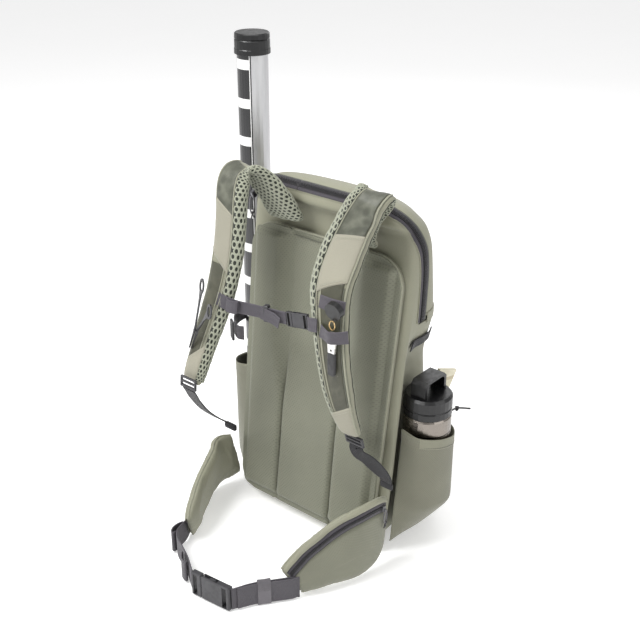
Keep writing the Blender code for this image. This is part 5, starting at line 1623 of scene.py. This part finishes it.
def build_chest_webbing():
    """The chest strap and the two webbing loops for the nippers."""
    web = M["sternum_web"]
    left = strap("chest_web_left", web_path([
        (-0.1090, -0.1622, 0.3965), (-0.0900, -0.1632, 0.3945), (-0.0700, -0.1590, 0.3925),
        (-0.0400, -0.1500, 0.3915), (-0.0050, -0.1440, 0.3918), (0.0138, -0.1432, 0.3934)],
        [(0, 0.35, 0.93), (0, 0.30, 0.95), (0, 0.15, 1), WEB_UP, WEB_UP, (-0.16, 0, 1)], STERNUM_WEB,
        THIN_WEB),
        80, web, None, "sternum_webbing_left")
    tail = strap("chest_web_tail", web_path([
        (-0.0300, -0.1500, 0.3910), (-0.0180, -0.1490, 0.3900), (-0.0060, -0.1485, 0.3880),
        (0.0050, -0.1490, 0.3845)], (-0.22, 0, 1), STERNUM_WEB * 0.96, THIN_WEB), 30, web, None)
    fold = strap("chest_web_fold",
                 fold_loop((-0.0860, -0.1640, 0.3940), (1, 0.12, 0), (0, -1, 0.05), 0.022, 0.0060,
                                             (0, 0.2, 1), STERNUM_WEB * 0.98, THIN_WEB), 34, web, None)
    for piece in (left, tail, fold):
        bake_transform(piece)
    strap("chest_web_right", web_path([
        (0.0566, -0.1425, 0.4004), (0.0600, -0.1486, 0.4012), (0.0660, -0.1502, 0.4025),
        (0.0780, -0.1510, 0.4050)],
        [(-0.16, lean, 1) for lean in (0, 0.1, 0.2, 0.25)], STERNUM_WEB, THIN_WEB),
        30, web, "pack", "sternum_webbing_right")
    strap("gear_web_upper", web_path([
        (0.0740, -0.1402, 0.4380), (0.0890, -0.1406, 0.4380), (0.1050, -0.1404, 0.4385),
        (0.1180, -0.1390, 0.4390)],
        (0, 0.25, 0.97), GEAR_WEB, THIN_WEB), 30, M["gear_web"], "pack", "gear_loop_upper")
    strap("gear_web_lower", web_path([
        (0.0840, -0.1505, 0.3990), (0.0960, -0.1560, 0.3995), (0.1090, -0.1620, 0.4000),
        (0.1200, -0.1570, 0.4010),
        (0.1310, -0.1470, 0.4020)], [(0, lean, 1) for lean in (0.2, 0, 0, 0, 0.2)], GEAR_WEB, THIN_WEB),
        34, M["gear_web"], "pack", "gear_loop_lower")


def build_lower_webbing():
    """Lower strap webbing, its anchor tabs and the side compression straps."""
    right = web_path([
        (0.1215, -0.1125, 0.2065), (0.1218, -0.1130, 0.2010), (0.1290, -0.1130, 0.1940),
        (0.1420, -0.1100, 0.1880),
        (0.1590, -0.1080, 0.1790)], [X_ACROSS, X_ACROSS, (1, 0, 0.3), (0.8, 0, 0.6), (0.8, 0, 0.6)],
        SHOULDER_WEB, WEB_THICK)
    right += [((0.1700, -0.1050, 0.1680), (1, 0, 0.2), SHOULDER_WEB * 0.9, WEB_THICK),
              ((0.1680, -0.1010, 0.1570), X_ACROSS, SHOULDER_WEB * 0.8, WEB_THICK)]
    strap("lower_web_right", right, 70, M["black_web"], "pack", "lower_webbing_right")
    strap("lower_web_left", web_path([
        (-0.1250, -0.2135, 0.2555), (-0.1280, -0.2060, 0.2440), (-0.1320, -0.1960, 0.2280),
        (-0.1380, -0.1720, 0.1960), (-0.1460, -0.1400, 0.1640), (-0.1520, -0.1160, 0.1430),
        (-0.1540, -0.1040, 0.1330)], X_ACROSS, SHOULDER_WEB, WEB_THICK),
        70, M["black_web"], "pack", "lower_webbing_left")
    for word in ("right", "left"):
        build_anchor_tab(word)
    wraps = [(-0.022, 0.3440), (-0.006, 0.3420), (0.014, 0.3410), (0.032, 0.3405), (0.046, 0.3405)]
    strap("side_web_right",
          web_path([(bag_side(y, z) + 0.0030, y, z) for y, z in wraps], (0.25, 0, 1), SIDE_WEB,
                                     WEB_THICK), 50, M["black_web"], "pack", "compression_strap_right")
    strap("side_web_left", web_path([
        (-0.1590, -0.0560, 0.2800), (-0.1720, -0.0580, 0.2800), (-0.1960, -0.0400, 0.2800),
        (-0.2115, -0.0140, 0.2800), (-0.2120, 0.0160, 0.2800), (-0.1990, 0.0370, 0.2800),
        (-0.1720, 0.0470, 0.2800), (-0.1345, 0.0490, 0.2800)], WEB_UP, SHOULDER_WEB, WEB_THICK),
        80, M["side_web"], "pack", "compression_strap_left")


def build_anchor_tab(word):
    """A folded tab of webbing sewn to the bag, where a shoulder strap's webbing ends."""
    low, high = ANCHOR_TABS[word]
    low, high = Vector(low), Vector(high)
    middle, size = (low + high) / 2, high - low
    rows = []
    for k in range(9):
        swell = 1.0 - 0.25 * abs(k - 4) / 4
        rows.append([Vector((middle.x + u, middle.y + v, low.z + size.z * k / 8))
                     for u, v in superellipse(size.x, size.y * swell, 5.0, 32)])
    mesh = grid_mesh("anchor_cloth_" + word, rows, closed_u=True, caps=True)
    soften(add_piece("anchor_cloth_" + word, mesh, M["black_web"], "pack", "anchor_tab_" + word, 60),
           0.0008)


ANCHOR_TABS = {"right": ((0.1570, -0.1000, 0.1440), (0.1790, -0.0950, 0.1542)),
               "left": ((-0.1660, -0.1040, 0.1200), (-0.1420, -0.0960, 0.1300))}


build_belt_webbing()
build_chest_webbing()
build_lower_webbing()


# ---- cords and hardware -----------------------------------------------------------------------
PULL_RADIUS = 0.0012


def pull_loop(centre, side, drop, open_share=0.36):
    """An open loop of cord that hangs drop below its top."""
    points = []
    for i in range(41):
        angle = open_share + (2 * math.pi - 2 * open_share) * i / 40
        points.append(Vector(centre) + side * math.sin(angle) + drop * (math.cos(angle) - 1) * -0.5)
    return points


def knot(name, centre, size, material, body):
    """A small tight overhand knot: three turns of cord round each other."""
    points = []
    for i in range(49):
        angle = 2 * math.pi * i / 48 * 2
        ring = size * (0.62 + 0.30 * math.cos(1.5 * angle))
        points.append(Vector(centre) + Vector((ring * math.cos(angle) * 0.8, ring * math.sin(angle),
                                               size * 0.62 * math.sin(1.5 * angle))))
    return tube(name, points, PULL_RADIUS * 0.95, material, body, sides=10)


def build_pull(name, node, centre, side, drop, material):
    """A cord pull on a slider: a loop, its knot and two cut ends."""
    body = body_of(node)
    points = pull_loop(centre, side, drop)
    loop = tube(name, points, PULL_RADIUS, material, body, node, 10)
    foot = Vector(centre) + drop
    tie = knot(name + "_knot", foot - drop.normalized() * 0.0012, 0.0020, M["cord"], body)
    for k, lean in enumerate((-0.35, 0.45)):
        ahead = (drop.normalized() + side.normalized() * lean).normalized()
        start = foot + ahead * 0.0008
        tail = [start + ahead * 0.0075 * t / 6 + side.normalized() * lean * 0.0008 * (t / 6) ** 2 for t in range(7)]
        tube(name + "_end_" + "ab"[k], tail, PULL_RADIUS * 0.9, M["cord"], body, sides=10)


def build_cords():
    """The zip pulls and the elastic of the bottle pocket."""
    for word, pairs, side in (("right", WING_RIGHT, 1), ("left", WING_LEFT, -1)):
        rows = [(centre + across * (width / 2 - ZIP_DROP) + out * (thick / 2 + 0.0012), out)
                for centre, across, out, width, thick in wing_frames(pairs, side, 20)[2:4]]
        spot, out = rows[0]
        run = (rows[1][0] - spot).normalized()
        top = spot + run * 0.006 + out * 0.0072
        build_pull("hip_cord_" + word, "hip_pull_" + word, top, run * 0.0045, Vector((0, 0, -0.0250)),
                   M["grey_cord"])
    at = Vector((-0.1582, -0.0235, 0.5120)) + Vector((-0.0045, 0, -0.004))
    build_pull("main_cord", "main_pull", at, Vector((0, 0.0050, 0)), Vector((0, 0, -0.0300)),
               M["grey_cord"])
    route = [(0.1640, 0.0690, 0.1950), (0.1665, 0.0740, 0.1985), (0.1685, 0.0800, 0.2000),
             (0.1690, 0.0860, 0.1985),
             (0.1720, 0.0910, 0.1975), (0.1775, 0.0930, 0.1985), (0.1835, 0.0935, 0.2000),
             (0.1880, 0.0945, 0.2010)]
    rim = surface_tree(bpy.data.objects["pocket_right"].data)
    start, _ = settle(rim, Vector(route[0]), 0.0)
    points = smooth_points([tuple(start), tuple(start.lerp(Vector(route[0]), 0.5))] + route, 60)
    elastic = tube("pocket_elastic", points, 0.0014, M["cord"], "pack", "pocket_drawcord", 10)
    tie = knot("pocket_elastic_knot", (0.1692, 0.0840, 0.1990), 0.0040, M["cord"], "pack")


build_cords()
for label in ("ladder_lock_left", "ladder_lock_right", "waist_buckle_female", "waist_buckle_male",
              "sternum_buckle_female", "sternum_buckle_male", "compression_lock_left"):
    soften(NODES[label], 0.0006, 2)
